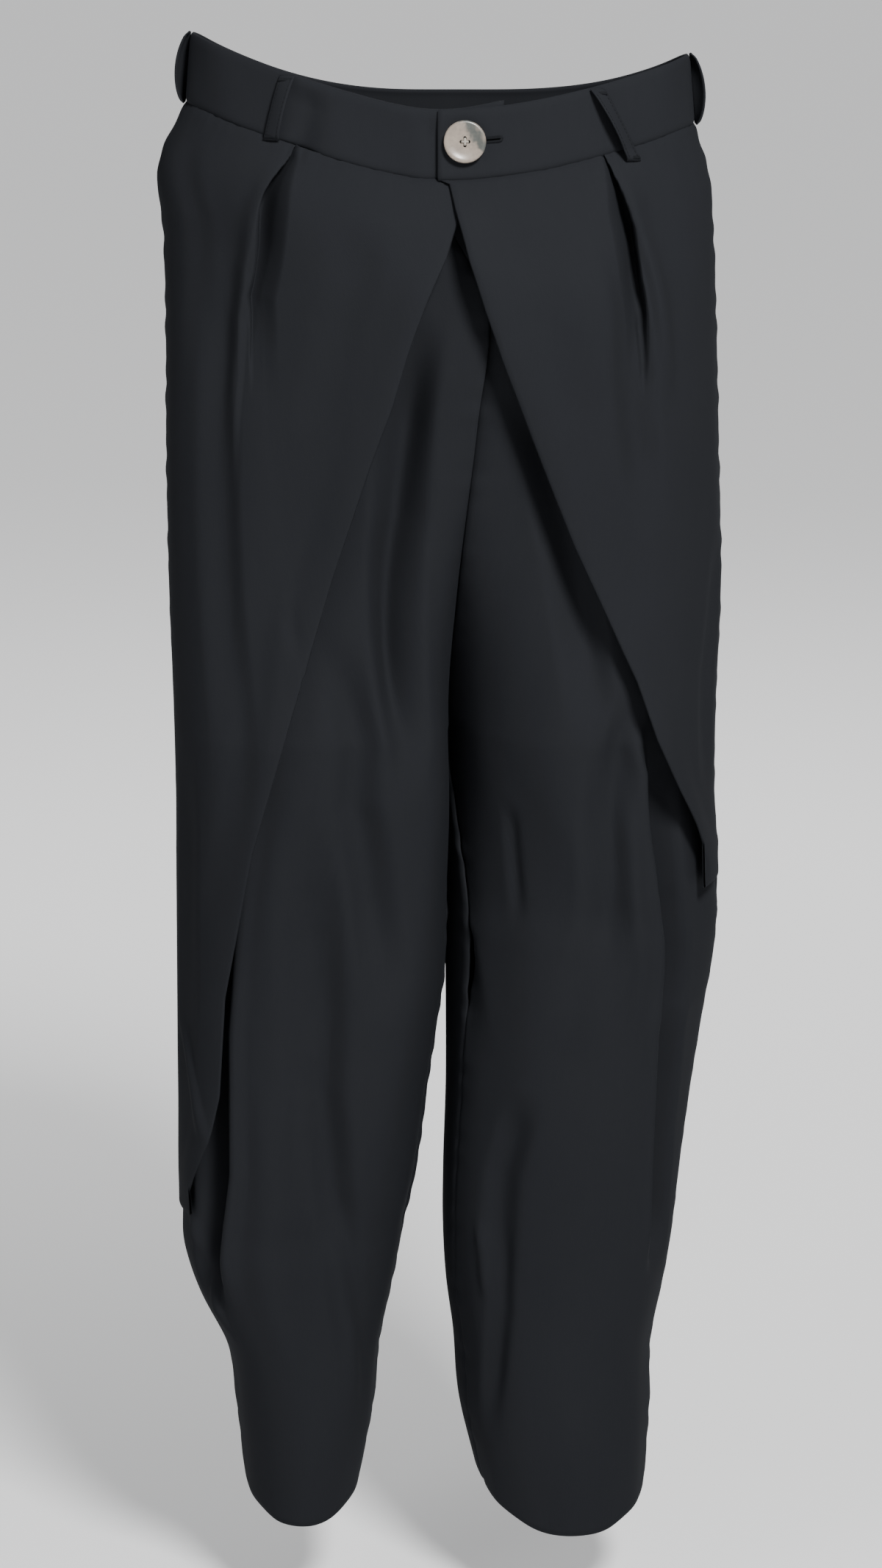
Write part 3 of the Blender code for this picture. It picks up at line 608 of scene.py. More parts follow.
RIGHT = Leg(
    side=Side.RIGHT,
    sections=(
        Section(0.000, 0.0000, 0.1670, -0.0830, 0.0820),
        Section(-0.030, 0.0000, 0.1832, -0.0930, 0.0920),
        Section(-0.080, 0.0000, 0.1822, -0.1040, 0.1050),
        Section(-0.140, 0.0000, 0.1824, -0.1110, 0.1160),
        Section(-0.220, 0.0000, 0.1838, -0.1140, 0.1200),
        Section(-0.300, 0.0000, 0.1832, -0.1120, 0.1120),
        Section(-0.400, 0.0003, 0.1800, -0.1080, 0.1010),
        Section(-0.450, -0.0020, 0.1795, -0.1060, 0.0975),
        Section(-0.500, -0.0021, 0.1802, -0.1040, 0.0950),
        Section(-0.580, -0.0008, 0.1810, -0.1000, 0.0930),
        Section(-0.620, 0.0045, 0.1812, -0.0980, 0.0925),
        Section(-0.660, 0.0098, 0.1812, -0.0960, 0.0920),
        Section(-0.720, 0.0175, 0.1815, -0.0930, 0.0910),
        Section(-0.760, 0.0262, 0.1800, -0.0905, 0.0900),
        Section(-0.800, 0.0335, 0.1690, -0.0870, 0.0880),
        Section(-0.840, 0.0420, 0.1505, -0.0840, 0.0860),
        Section(-0.890, 0.0470, 0.1435, -0.0800, 0.0830),
        Section(-0.940, 0.0565, 0.1385, -0.0740, 0.0780),
    ),
    front_waist=WaistLine(0.0100, 0.0450, 1.2),
    back_waist=WaistLine(0.0140, 0.0410, 2.2),
    inseam_turn=math.radians(6),
    fullness=2.80,
    wrap_edge=(
        (0.000, 0.0080),
        (-0.020, 0.0105),
        (-0.038, 0.0105),
        (-0.072, 0.0030),
        (-0.103, -0.0080),
        (-0.141, -0.0210),
        (-0.175, -0.0310),
        (-0.215, -0.0460),
        (-0.286, -0.0700),
        (-0.380, -0.0980),
        (-0.472, -0.1240),
        (-0.572, -0.1430),
        (-0.642, -0.1475),
        (-0.675, -0.1545),
        (-0.705, -0.1665),
        (-0.735, -0.1770),
    ),
    wrap_end=-0.735,
    edge_lift_start=-0.060,
    outer_fold=(
        (-0.400, -0.1250, -0.1420),
        (-0.480, -0.1330, -0.1480),
        (-0.600, -0.1455, -0.1560),
        (-0.700, -0.1440, -0.1560),
        (-0.805, -0.1415, -0.1490),
    ),
    hem_tilt_forward=0.24,
    hem_tilt_outward=0.00,
    pleat=Fold(
        Face.FRONT,
        (
            (0.006, -0.0925),
            (-0.010, -0.0962),
            (-0.054, -0.1121),
            (-0.108, -0.1205),
            (-0.146, -0.1205),
            (-0.180, -0.1195),
        ),
        0.0165,
        0.0165,
        0.0040,
        start=0.03,
        end=0.75,
        flare=0.30,
        squareness=2.6,
        tuck=0.75,
    ),
    wrap_folds=(
        Fold(
            Face.FRONT,
            ((-0.002, -0.0990), (-0.036, -0.1118), (-0.090, -0.1250), (-0.122, -0.1300), (-0.240, -0.1375)),
            -0.0042,
            0.0065,
            0.0130,
        ),
        Fold(
            Face.FRONT,
            ((-0.040, -0.1345), (-0.120, -0.1405), (-0.230, -0.1440), (-0.470, -0.1370)),
            0.0052,
            0.0180,
            0.0220,
        ),
        Fold(Face.FRONT, ((0.000, -0.1540), (-0.060, -0.1580), (-0.170, -0.1610)), 0.0020, 0.0150, 0.0160),
        Fold(Face.GIRTH, ((-0.400, 0.42), (-0.560, 0.41), (-0.700, 0.42)), 0.0030, 0.0200, 0.0200),
        Fold(Face.FRONT, ((-0.590, -0.1770), (-0.640, -0.1660), (-0.690, -0.1520)), -0.0030, 0.0080, 0.0110),
        Fold(Face.FRONT, ((-0.040, -0.0450), (-0.120, -0.0620), (-0.230, -0.0800)), 0.0022, 0.0200, 0.0240),
        Fold(Face.FRONT, ((-0.260, -0.1050), (-0.400, -0.1250), (-0.540, -0.1500)), 0.0018, 0.0160, 0.0200),
    ),
    front_folds=(
        Fold(Face.FRONT, ((-0.110, -0.0180), (-0.250, -0.0245), (-0.450, -0.0270)), 0.0220, 0.0220, 0.0250),
        Fold(Face.FRONT, ((-0.320, -0.0700), (-0.440, -0.0560), (-0.600, -0.0340)), 0.0105, 0.0210, 0.0240),
        Fold(
            Face.FRONT,
            ((-0.440, -0.0850), (-0.640, -0.0800), (-0.710, -0.0720), (-0.820, -0.0590)),
            0.0100,
            0.0170,
            0.0230,
        ),
        Fold(Face.FRONT, ((-0.720, -0.0740), (-0.800, -0.0660), (-0.890, -0.0600)), -0.0045, 0.0130, 0.0130),
        Fold(Face.FRONT, ((-0.590, -0.1640), (-0.690, -0.1650), (-0.785, -0.1540)), 0.0110, 0.0110, 0.0150),
        Fold(Face.FRONT, ((-0.730, -0.1760), (-0.775, -0.1600), (-0.830, -0.1390)), -0.0040, 0.0070, 0.0090),
        Fold(Face.FRONT, ((-0.620, -0.1200), (-0.720, -0.1180), (-0.850, -0.1060)), -0.0026, 0.0160, 0.0140),
    ),
    back_folds=(
        Fold(Face.GIRTH, ((-0.150, 0.70), (-0.350, 0.72), (-0.560, 0.74)), 0.0060, 0.0220, 0.0220),
        Fold(Face.GIRTH, ((-0.300, 0.62), (-0.550, 0.64), (-0.800, 0.66)), 0.0080, 0.0240, 0.0200),
        Fold(Face.GIRTH, ((-0.380, 0.86), (-0.480, 0.80), (-0.600, 0.76)), 0.0070, 0.0180, 0.0200),
        Fold(Face.GIRTH, ((-0.200, 0.58), (-0.330, 0.60), (-0.440, 0.63)), 0.0026, 0.0110, 0.0150),
        Fold(Face.GIRTH, ((-0.620, 0.83), (-0.720, 0.80), (-0.860, 0.79)), 0.0032, 0.0120, 0.0150),
        Fold(Face.GIRTH, ((-0.390, 0.93), (-0.440, 0.88), (-0.500, 0.84)), 0.0030, 0.0080, 0.0100),
    ),
)

LEFT = Leg(
    side=Side.LEFT,
    sections=(
        Section(0.000, 0.0000, 0.1660, -0.0830, 0.0820),
        Section(-0.030, 0.0000, 0.1745, -0.0925, 0.0920),
        Section(-0.080, 0.0000, 0.1794, -0.1035, 0.1050),
        Section(-0.140, 0.0000, 0.1827, -0.1105, 0.1160),
        Section(-0.220, 0.0000, 0.1860, -0.1135, 0.1200),
        Section(-0.300, 0.0000, 0.1888, -0.1120, 0.1120),
        Section(-0.400, 0.0005, 0.1858, -0.1080, 0.1010),
        Section(-0.450, 0.0030, 0.1860, -0.1055, 0.0970),
        Section(-0.500, 0.0035, 0.1895, -0.1030, 0.0945),
        Section(-0.560, 0.0028, 0.1880, -0.0990, 0.0925),
        Section(-0.600, 0.0030, 0.1818, -0.0965, 0.0915),
        Section(-0.660, 0.0027, 0.1730, -0.0930, 0.0900),
        Section(-0.720, 0.0008, 0.1655, -0.0895, 0.0880),
        Section(-0.760, 0.0006, 0.1612, -0.0870, 0.0860),
        Section(-0.800, 0.0028, 0.1548, -0.0840, 0.0830),
        Section(-0.840, 0.0080, 0.1470, -0.0810, 0.0790),
        Section(-0.890, 0.0120, 0.1462, -0.0770, 0.0720),
        Section(-0.940, 0.0230, 0.1430, -0.0700, 0.0620),
    ),
    front_waist=WaistLine(0.0100, 0.0310, 1.5),
    back_waist=WaistLine(0.0140, 0.0270, 3.0),
    inseam_turn=math.radians(26),
    fullness=2.15,
    wrap_edge=(
        (0.000, 0.0000),
        (-0.004, 0.0060),
        (-0.030, 0.0100),
        (-0.075, 0.0190),
        (-0.112, 0.0290),
        (-0.146, 0.0400),
        (-0.205, 0.0630),
        (-0.266, 0.0870),
        (-0.310, 0.1070),
        (-0.355, 0.1270),
        (-0.394, 0.1400),
        (-0.432, 0.1560),
        (-0.460, 0.1690),
        (-0.485, 0.1790),
        (-0.505, 0.1840),
    ),
    wrap_end=-0.505,
    edge_lift_start=0.000,
    outer_fold=(
        (-0.360, 0.1250, 0.1430),
        (-0.420, 0.1390, 0.1520),
        (-0.500, 0.1450, 0.1550),
        (-0.600, 0.1440, 0.1530),
        (-0.700, 0.1420, 0.1490),
        (-0.785, 0.1400, 0.1460),
    ),
    hem_tilt_forward=0.37,
    hem_tilt_outward=-0.16,
    pleat=Fold(
        Face.FRONT,
        (
            (0.006, 0.1035),
            (-0.004, 0.1056),
            (-0.028, 0.1129),
            (-0.058, 0.1202),
            (-0.094, 0.1270),
            (-0.180, 0.1320),
        ),
        0.0175,
        0.0130,
        0.0038,
        start=0.03,
        end=0.70,
        flare=0.36,
        squareness=2.6,
        tuck=0.75,
    ),
    wrap_folds=(
        Fold(
            Face.FRONT,
            ((-0.002, 0.1105), (-0.022, 0.1165), (-0.066, 0.1285), (-0.108, 0.1395), (-0.190, 0.1460)),
            -0.0040,
            0.0065,
            0.0130,
        ),
        Fold(Face.FRONT, ((-0.060, 0.1080), (-0.150, 0.1230), (-0.270, 0.1400)), 0.0065, 0.0190, 0.0190),
        Fold(Face.GIRTH, ((-0.260, 0.44), (-0.360, 0.42), (-0.460, 0.44)), 0.0030, 0.0180, 0.0180),
        Fold(Face.FRONT, ((-0.115, 0.1300), (-0.140, 0.1325), (-0.175, 0.1350)), 0.0026, 0.0050, 0.0070),
        Fold(Face.FRONT, ((-0.030, 0.0480), (-0.120, 0.0720), (-0.230, 0.0980)), 0.0020, 0.0200, 0.0220),
    ),
    front_folds=(
        Fold(Face.FRONT, ((-0.180, 0.0150), (-0.400, 0.0200), (-0.640, 0.0250)), 0.0130, 0.0130, 0.0240),
        Fold(Face.FRONT, ((-0.150, 0.0480), (-0.280, 0.0830), (-0.400, 0.1060)), 0.0125, 0.0250, 0.0220),
        Fold(Face.FRONT, ((-0.350, 0.1380), (-0.450, 0.1110), (-0.600, 0.0860)), 0.0100, 0.0230, 0.0190),
        Fold(Face.FRONT, ((-0.420, 0.1270), (-0.500, 0.1290), (-0.620, 0.1290)), -0.0045, 0.0130, 0.0110),
        Fold(Face.FRONT, ((-0.640, 0.0560), (-0.700, 0.0400), (-0.780, 0.0370)), 0.0065, 0.0150, 0.0190),
        Fold(Face.FRONT, ((-0.730, 0.0420), (-0.800, 0.0400), (-0.900, 0.0340)), 0.0065, 0.0110, 0.0130),
        Fold(Face.FRONT, ((-0.440, 0.0430), (-0.480, 0.0455), (-0.530, 0.0480)), 0.0032, 0.0080, 0.0100),
        Fold(Face.FRONT, ((-0.735, 0.0260), (-0.760, 0.0290), (-0.800, 0.0330)), -0.0028, 0.0070, 0.0080),
        Fold(Face.FRONT, ((-0.440, 0.1000), (-0.520, 0.0980), (-0.640, 0.1020)), -0.0022, 0.0160, 0.0160),
    ),
    back_folds=(
        Fold(Face.GIRTH, ((-0.160, 0.69), (-0.360, 0.71), (-0.580, 0.73)), 0.0060, 0.0220, 0.0220),
        Fold(Face.GIRTH, ((-0.320, 0.61), (-0.520, 0.62), (-0.760, 0.66)), 0.0080, 0.0240, 0.0200),
        Fold(Face.GIRTH, ((-0.370, 0.87), (-0.470, 0.81), (-0.620, 0.77)), 0.0070, 0.0180, 0.0200),
        Fold(Face.GIRTH, ((-0.180, 0.57), (-0.300, 0.59), (-0.430, 0.62)), 0.0028, 0.0120, 0.0150),
        Fold(Face.GIRTH, ((-0.640, 0.84), (-0.740, 0.80), (-0.880, 0.80)), 0.0030, 0.0120, 0.0140),
        Fold(Face.GIRTH, ((-0.395, 0.92), (-0.450, 0.87), (-0.520, 0.83)), 0.0030, 0.0090, 0.0100),
    ),
)


@dataclass(frozen=True)
class CentreLap:
    """The lap of the wearer's left front over the right one."""

    rise: float = 0.0029
    full_x: float = 0.056
    none_x: float = 0.090
    length: float = 0.110

    def over(self, x: Any, level: Any) -> Array:
        """How far the upper front rises at a place."""
        across = eased((self.none_x - x) / (self.none_x - self.full_x))
        return self.rise * across * eased(1 + level / self.length)


LAP = CentreLap()


class Num:
    """A number's socket, on which Python's arithmetic adds Math nodes."""

    def __init__(self, nodes: "Nodes", socket: bpy.types.NodeSocket) -> None:
        """Wraps a socket of a node in a tree."""
        self.nodes = nodes
        self.socket = socket

    def math(self, operation: str, *others: Any) -> "Num":
        """This value and others put through one Math node.

        Args:
            operation: The Math node's operation.
            others: Numbers or sockets for its further inputs.

        Returns:
            The node's result.
        """
        node = self.nodes.add("ShaderNodeMath", {"operation": operation}, dict(enumerate((self, *others))))
        return Num(self.nodes, node.outputs[0])

    def _after(self, operation: str, first: Any) -> "Num":
        """The operation with this value as its second input."""
        node = self.nodes.add("ShaderNodeMath", {"operation": operation}, {0: first, 1: self})
        return Num(self.nodes, node.outputs[0])

    def __add__(self, other: Any) -> "Num":
        """The sum."""
        return self.math("ADD", other)

    __radd__ = __add__

    def __sub__(self, other: Any) -> "Num":
        """The difference."""
        return self.math("SUBTRACT", other)

    def __rsub__(self, other: Any) -> "Num":
        """A number less this value."""
        return self._after("SUBTRACT", other)

    def __mul__(self, other: Any) -> "Num":
        """The product."""
        return self.math("MULTIPLY", other)

    __rmul__ = __mul__

    def clamped(self) -> "Num":
        """This value held between 0 and 1."""
        node = self.nodes.add("ShaderNodeClamp", {}, {0: self})
        return Num(self.nodes, node.outputs[0])

    def step(self, low: float, high: float) -> "Num":
        """A smooth step of this value.

        Args:
            low: Where the step is 0.
            high: Where the step is 1.

        Returns:
            The step.
        """
        settings = {"interpolation_type": "SMOOTHSTEP"}
        node = self.nodes.add("ShaderNodeMapRange", settings, {0: self, 1: low, 2: high})
        return Num(self.nodes, node.outputs[0])


class Nodes:
    """A node tree that nodes are added to by type, settings and inputs."""

    def __init__(self, tree: bpy.types.NodeTree) -> None:
        """Wraps a tree."""
        self.tree = tree

    def add(self, kind: str, settings: dict | None = None, inputs: dict | None = None) -> bpy.types.Node:
        """Adds one node.

        Args:
            kind: The node's type.
            settings: Its properties, which are set first.
            inputs: Values or links for its sockets, by name or number.

        Returns:
            The node.
        """
        node = self.tree.nodes.new(kind)
        for key, value in (settings or {}).items():
            setattr(node, key, value)
        self.feed(node, inputs or {})
        return node

    def feed(self, node: bpy.types.Node, inputs: dict) -> None:
        """Sets or links a node's sockets.

        Args:
            node: The node.
            inputs: Values or links, by the socket's name or number.
        """
        for key, value in inputs.items():
            source = value.socket if isinstance(value, Num) else value
            if isinstance(source, bpy.types.NodeSocket):
                self.tree.links.new(source, node.inputs[key])
            else:
                node.inputs[key].default_value = value

    def scaled(self, vector: Any, scale: tuple, location: tuple = (0.0, 0.0, 0.0)) -> bpy.types.NodeSocket:
        """A place stretched along its axes and then moved.

        Args:
            vector: The place.
            scale: How much it is stretched along each axis.
            location: How far it is moved.

        Returns:
            The new place's socket.
        """
        inputs = {"Vector": vector, "Location": location, "Scale": scale}
        return self.add("ShaderNodeMapping", {}, inputs).outputs[0]

    def noise(self, vector: Any, scale: float, detail: float = 3.0, roughness: float = 0.5) -> Num:
        """Cloudy values from 0 to 1.

        Args:
            vector: The place to read them at.
            scale: Clouds to a metre.
            detail: Octaves.
            roughness: Strength of each finer octave.

        Returns:
            The noise.
        """
        inputs = {"Vector": vector, "Scale": scale, "Detail": detail, "Roughness": roughness}
        return Num(self, self.add("ShaderNodeTexNoise", {}, inputs).outputs[0])

    def mix(self, share: Any, first: Any, second: Any) -> bpy.types.NodeSocket:
        """Two colours mixed.

        Args:
            share: How much of the second colour there is.
            first: A colour or its socket.
            second: A colour or its socket.

        Returns:
            The mixed colour's socket.
        """
        first = (*first, 1.0) if isinstance(first, tuple) else first
        second = (*second, 1.0) if isinstance(second, tuple) else second
        node = self.add("ShaderNodeMix", {"data_type": "RGBA"}, {0: share, 6: first, 7: second})
        return node.outputs[2]

    def bump(self, height: Num, distance: float, strength: float = 1.0) -> bpy.types.NodeSocket:
        """A normal from a height.

        Args:
            height: The relief, 0 to 1.
            distance: Its depth in metres.
            strength: How much of it shows.

        Returns:
            The normal's socket.
        """
        inputs = {"Strength": strength, "Distance": distance, "Height": height}
        return self.add("ShaderNodeBump", {}, inputs).outputs[0]


@dataclass(frozen=True)
class Finish:
    """A finish that a piece can be dressed in."""

    name: str

    def paint(self, nodes: Nodes, shader: bpy.types.Node) -> None:
        """Adds the finish's nodes to its shader."""
        raise NotImplementedError

    def material(self) -> bpy.types.Material:
        """The finish as a material, made the first time that it is asked for.

        Returns:
            The material.
        """
        found = bpy.data.materials.get(self.name)
        if found is not None:
            return found
        made = bpy.data.materials.new(self.name)
        made.use_nodes = True
        self.paint(Nodes(made.node_tree), made.node_tree.nodes["Principled BSDF"])
        return made

    def dress(self, piece: bpy.types.Object) -> None:
        """Gives a piece this finish alone."""
        piece.data.materials.clear()
        piece.data.materials.append(self.material())


@dataclass(frozen=True)
class Crepe(Finish):
    """Dark crepe: a matt pebbled weave with slubs along its length, a little uneven in shade."""

    colour: Triple = (0.0128, 0.0137, 0.0160)
    worn: Triple = (0.0172, 0.0181, 0.0206)
    roughness: float = 0.80
    pebble: float = 950.0
    pebble_run: float = 0.62
    pebble_depth: float = 0.00016
    slub: float = 620.0
    slub_run: float = 0.06
    clouds: float = 7.0
    gloss: float = 0.02
    sheen: float = 0.006

    def paint(self, nodes: Nodes, shader: bpy.types.Node) -> None:
        """Adds the crepe's pebble, slubs and shade.

        Args:
            nodes: The material's tree.
            shader: Its shader.
        """
        place = nodes.add("ShaderNodeUVMap", {"uv_map": "cloth"}).outputs[0]
        pebble = nodes.noise(nodes.scaled(place, (1.0, self.pebble_run, 1.0)), self.pebble, 2.0, 0.6)
        slub = nodes.noise(nodes.scaled(place, (1.0, self.slub_run, 1.0)), self.slub, 2.0, 0.5)
        cloud = nodes.noise(place, self.clouds, 3.0, 0.55)
        shade = (cloud * 0.75 + slub * 0.30 - 0.10).clamped()
        relief = pebble * 0.75 + slub * 0.25
        nodes.feed(
            shader,
            {
                "Base Color": nodes.mix(shade, self.colour, self.worn),
                "Roughness": self.roughness + cloud * 0.10 - pebble * 0.05,
                "Normal": nodes.bump(relief, self.pebble_depth, 0.6),
                "Specular IOR Level": self.gloss,
                "Sheen Weight": self.sheen,
                "Sheen Roughness": 0.45,
                "Sheen Tint": (0.78, 0.86, 1.0, 1.0),
            },
        )


@dataclass(frozen=True)
class Thread(Finish):
    """Twisted sewing thread."""

    colour: Triple
    twist: float = 1500.0

    def paint(self, nodes: Nodes, shader: bpy.types.Node) -> None:
        """Adds the thread's twist and its uneven shade.

        Args:
            nodes: The material's tree.
            shader: Its shader.
        """
        place = nodes.add("ShaderNodeTexCoord").outputs["Object"]
        strand = nodes.noise(place, self.twist, 2.0, 0.5)
        dull = tuple(0.72 * part for part in self.colour)
        nodes.feed(
            shader,
            {
                "Base Color": nodes.mix(strand, dull, self.colour),
                "Roughness": 0.62 + strand * 0.2,
                "Normal": nodes.bump(strand, 0.00010, 0.7),
                "Specular IOR Level": 0.08,
            },
        )


@dataclass(frozen=True)
class Horn(Finish):
    """Polished horn-effect resin: greige with a grey-green band across one side and fine streaks."""

    centre: Triple
    radius: float
    beige: Triple = (0.300, 0.255, 0.210)
    tan: Triple = (0.200, 0.168, 0.140)
    green: Triple = (0.075, 0.082, 0.076)

    def paint(self, nodes: Nodes, shader: bpy.types.Node) -> None:
        """Adds the horn's bands, its streaks and its polish.

        Args:
            nodes: The material's tree.
            shader: Its shader.
        """
        place = nodes.add("ShaderNodeTexCoord").outputs["Object"]
        shift = tuple(-part / self.radius for part in self.centre)
        local = nodes.scaled(place, (1 / self.radius,) * 3, shift)
        parts = nodes.add("ShaderNodeSeparateXYZ", {}, {0: local})
        across, up = Num(nodes, parts.outputs[0]), Num(nodes, parts.outputs[2])
        warp = nodes.noise(local, 1.6, 3.0, 0.6)
        fine = nodes.noise(local, 7.0, 4.0, 0.65)
        slant = across * 0.78 + up * 0.62 + (warp - 0.5) * 0.9
        band = slant.step(0.18, 0.52) * (1 - slant.step(0.78, 1.15))
        body = nodes.mix((warp * 0.7 + fine * 0.5).step(0.35, 0.9), self.beige, self.tan)
        streaks = (fine * 0.55 + band * 0.65).clamped() * band
        nodes.feed(
            shader,
            {
                "Base Color": nodes.mix(streaks, body, self.green),
                "Roughness": 0.26 + fine * 0.16,
                "Normal": nodes.bump(fine, 0.00010, 0.35),
                "Coat Weight": 0.25,
                "Coat Roughness": 0.18,
            },
        )


@dataclass(frozen=True)
class PaleFloor(Finish):
    """The studio's plain pale floor, which glows behind the trousers and not in front of them."""

    colour: Triple = (0.90, 0.90, 0.90)
    glow: float = 1.0
    near_glow: Triple = (0.18, 0.18, 0.18)
    far_glow: Triple = (0.62, 0.62, 0.62)
    glow_from: tuple[float, float] = (-0.6, 2.4)

    def paint(self, nodes: Nodes, shader: bpy.types.Node) -> None:
        """Adds the floor's slight unevenness and its glow.

        Args:
            nodes: The material's tree.
            shader: Its shader.
        """
        place = nodes.add("ShaderNodeTexCoord").outputs["Object"]
        cloud = nodes.noise(place, 1.5, 2.0, 0.5)
        darker = tuple(0.985 * part for part in self.colour)
        depth = Num(nodes, nodes.add("ShaderNodeSeparateXYZ", {}, {0: place}).outputs[1])
        nodes.feed(
            shader,
            {
                "Base Color": nodes.mix(cloud, darker, self.colour),
                "Roughness": 0.85,
                "Specular IOR Level": 0.1,
                "Emission Color": nodes.mix(depth.step(*self.glow_from), self.near_glow, self.far_glow),
                "Emission Strength": self.glow,
            },
        )


CREPE = Crepe("dark_crepe")
PRESSED_CREPE = Crepe("dark_crepe_pressed", roughness=0.76, pebble_depth=0.00012, sheen=0.005)
DARK_THREAD = Thread("dark_thread", (0.0105, 0.0115, 0.0135))
PALE_THREAD = Thread("pale_thread_strands", (0.42, 0.39, 0.34))


class MeshParts:
    """Meshes made from points and faces."""

    @staticmethod
    def piece(name: str, points: Array, faces: Sequence, uv: Array | None = None) -> bpy.types.Object:
        """A smooth mesh object whose faces point outwards.

        Args:
            name: The object's name.
            points: Its points.
            faces: Corner numbers of each face, all turning the same way.
            uv: A place on the flat cloth for each point, in metres.

        Returns:
            The object, in the scene.
        """
        fans = [(face[0], face[i], face[i + 1]) for face in faces for i in range(1, len(face) - 1)]
        corners = points[np.array(fans)]
        volume = np.einsum("ij,ij->", corners[:, 0], np.cross(corners[:, 1], corners[:, 2]))
        if volume < 0:
            faces = [tuple(reversed(face)) for face in faces]
        mesh = bpy.data.meshes.new(name)
        mesh.from_pydata(points.tolist(), [], faces)
        if uv is not None:
            layer = mesh.uv_layers.new(name="cloth")
            used = np.empty(len(mesh.loops), dtype=np.int32)
            mesh.loops.foreach_get("vertex_index", used)
            layer.uv.foreach_set("vector", uv[used].astype(np.float32).ravel())
        mesh.shade_smooth()
        return in_scene(name, mesh)

    @staticmethod
    def rim(rows: int, count: int) -> list[tuple[int, int]]:
        """The places round a grid's edge, in order.

        Args:
            rows: The grid's rows.
            count: The grid's columns.

        Returns:
            The (row, column) pairs.
        """
        top = [(0, column) for column in range(count - 1)]
        right = [(row, count - 1) for row in range(rows - 1)]
        bottom = [(rows - 1, column) for column in range(count - 1, 0, -1)]
        left = [(row, 0) for row in range(rows - 1, 0, -1)]
        return top + right + bottom + left

    @classmethod
    def shell(cls, name: str, outer: Array, inner: Array, uv: Array) -> bpy.types.Object:
        """A closed sheet of cloth with rounded edges.

        Args:
            name: The object's name.
            outer: Grid of points of the outer face.
            inner: Grid of points of the inner face.
            uv: Grid of places on the flat cloth.

        Returns:
            The object, in the scene.
        """
        rows, count = outer.shape[:2]
        layer = rows * count
        edge = np.array(cls.rim(rows, count))
        row, column = edge[:, 0], edge[:, 1]
        within = outer[np.clip(row, 1, rows - 2), np.clip(column, 1, count - 2)]
        through = outer[row, column] - inner[row, column]
        wall = np.linalg.norm(through, axis=-1, keepdims=True)
        beyond = outer[row, column] - within
        beyond -= through * (beyond * through).sum(-1, keepdims=True) / wall**2
        beyond /= np.linalg.norm(beyond, axis=-1, keepdims=True)
        rounded = (outer[row, column] + inner[row, column]) / 2 + beyond * wall / 2
        points = np.concatenate([outer.reshape(-1, 3), inner.reshape(-1, 3), rounded])
        places = np.concatenate([uv.reshape(-1, 2), uv.reshape(-1, 2), uv[row, column]])
        here = (np.arange(rows - 1)[:, None] * count + np.arange(count - 1)).ravel()
        quads = np.stack([here, here + count, here + count + 1, here + 1], -1)
        faces = quads.tolist() + (quads[:, ::-1] + layer).tolist()
        number = row * count + column
        total = len(number)
        for place in range(total):
            after = (place + 1) % total
            first, second = int(number[place]), int(number[after])
            round_first, round_second = 2 * layer + place, 2 * layer + after
            faces.append((first, second, round_second, round_first))
            faces.append((round_first, round_second, second + layer, first + layer))
        return cls.piece(name, points, [tuple(face) for face in faces], places)

    @classmethod
    def tubes(cls, name: str, paths: Sequence[Array], radius: float, sides: int) -> bpy.types.Object:
        """Round strands along paths, with closed ends, as one mesh.

        Args:
            name: The object's name.
            paths: Points of each strand.
            radius: The strands' radius.
            sides: Sides of a strand.

        Returns:
            The object, in the scene.
        """
        points, faces, start = [], [], 0
        for path in paths:
            ahead = np.gradient(path, axis=0)
            ahead /= np.linalg.norm(ahead, axis=1, keepdims=True)
            side = np.cross(ahead, ASIDE)
            side /= np.linalg.norm(side, axis=1, keepdims=True)
            up = np.cross(ahead, side)
            angle = np.arange(sides) * 2 * math.pi / sides
            circle = np.cos(angle)[:, None] * side[:, None] + np.sin(angle)[:, None] * up[:, None]
            points.append((path[:, None] + radius * circle).reshape(-1, 3))
            for step in range(len(path) - 1):
                low = start + step * sides
                for turn in range(sides):
                    after = (turn + 1) % sides
                    faces.append((low + turn, low + after, low + sides + after, low + sides + turn))
            last = start + (len(path) - 1) * sides
            faces.append(tuple(range(start, start + sides))[::-1])
            faces.append(tuple(range(last, last + sides)))
            start += len(path) * sides
        return cls.piece(name, np.concatenate(points), faces)


class Cloth(NamedTuple):
    """The grids of one sheet: its outer face, its inner face and its places on the flat cloth."""

    outer: Array
    inner: Array
    uv: Array


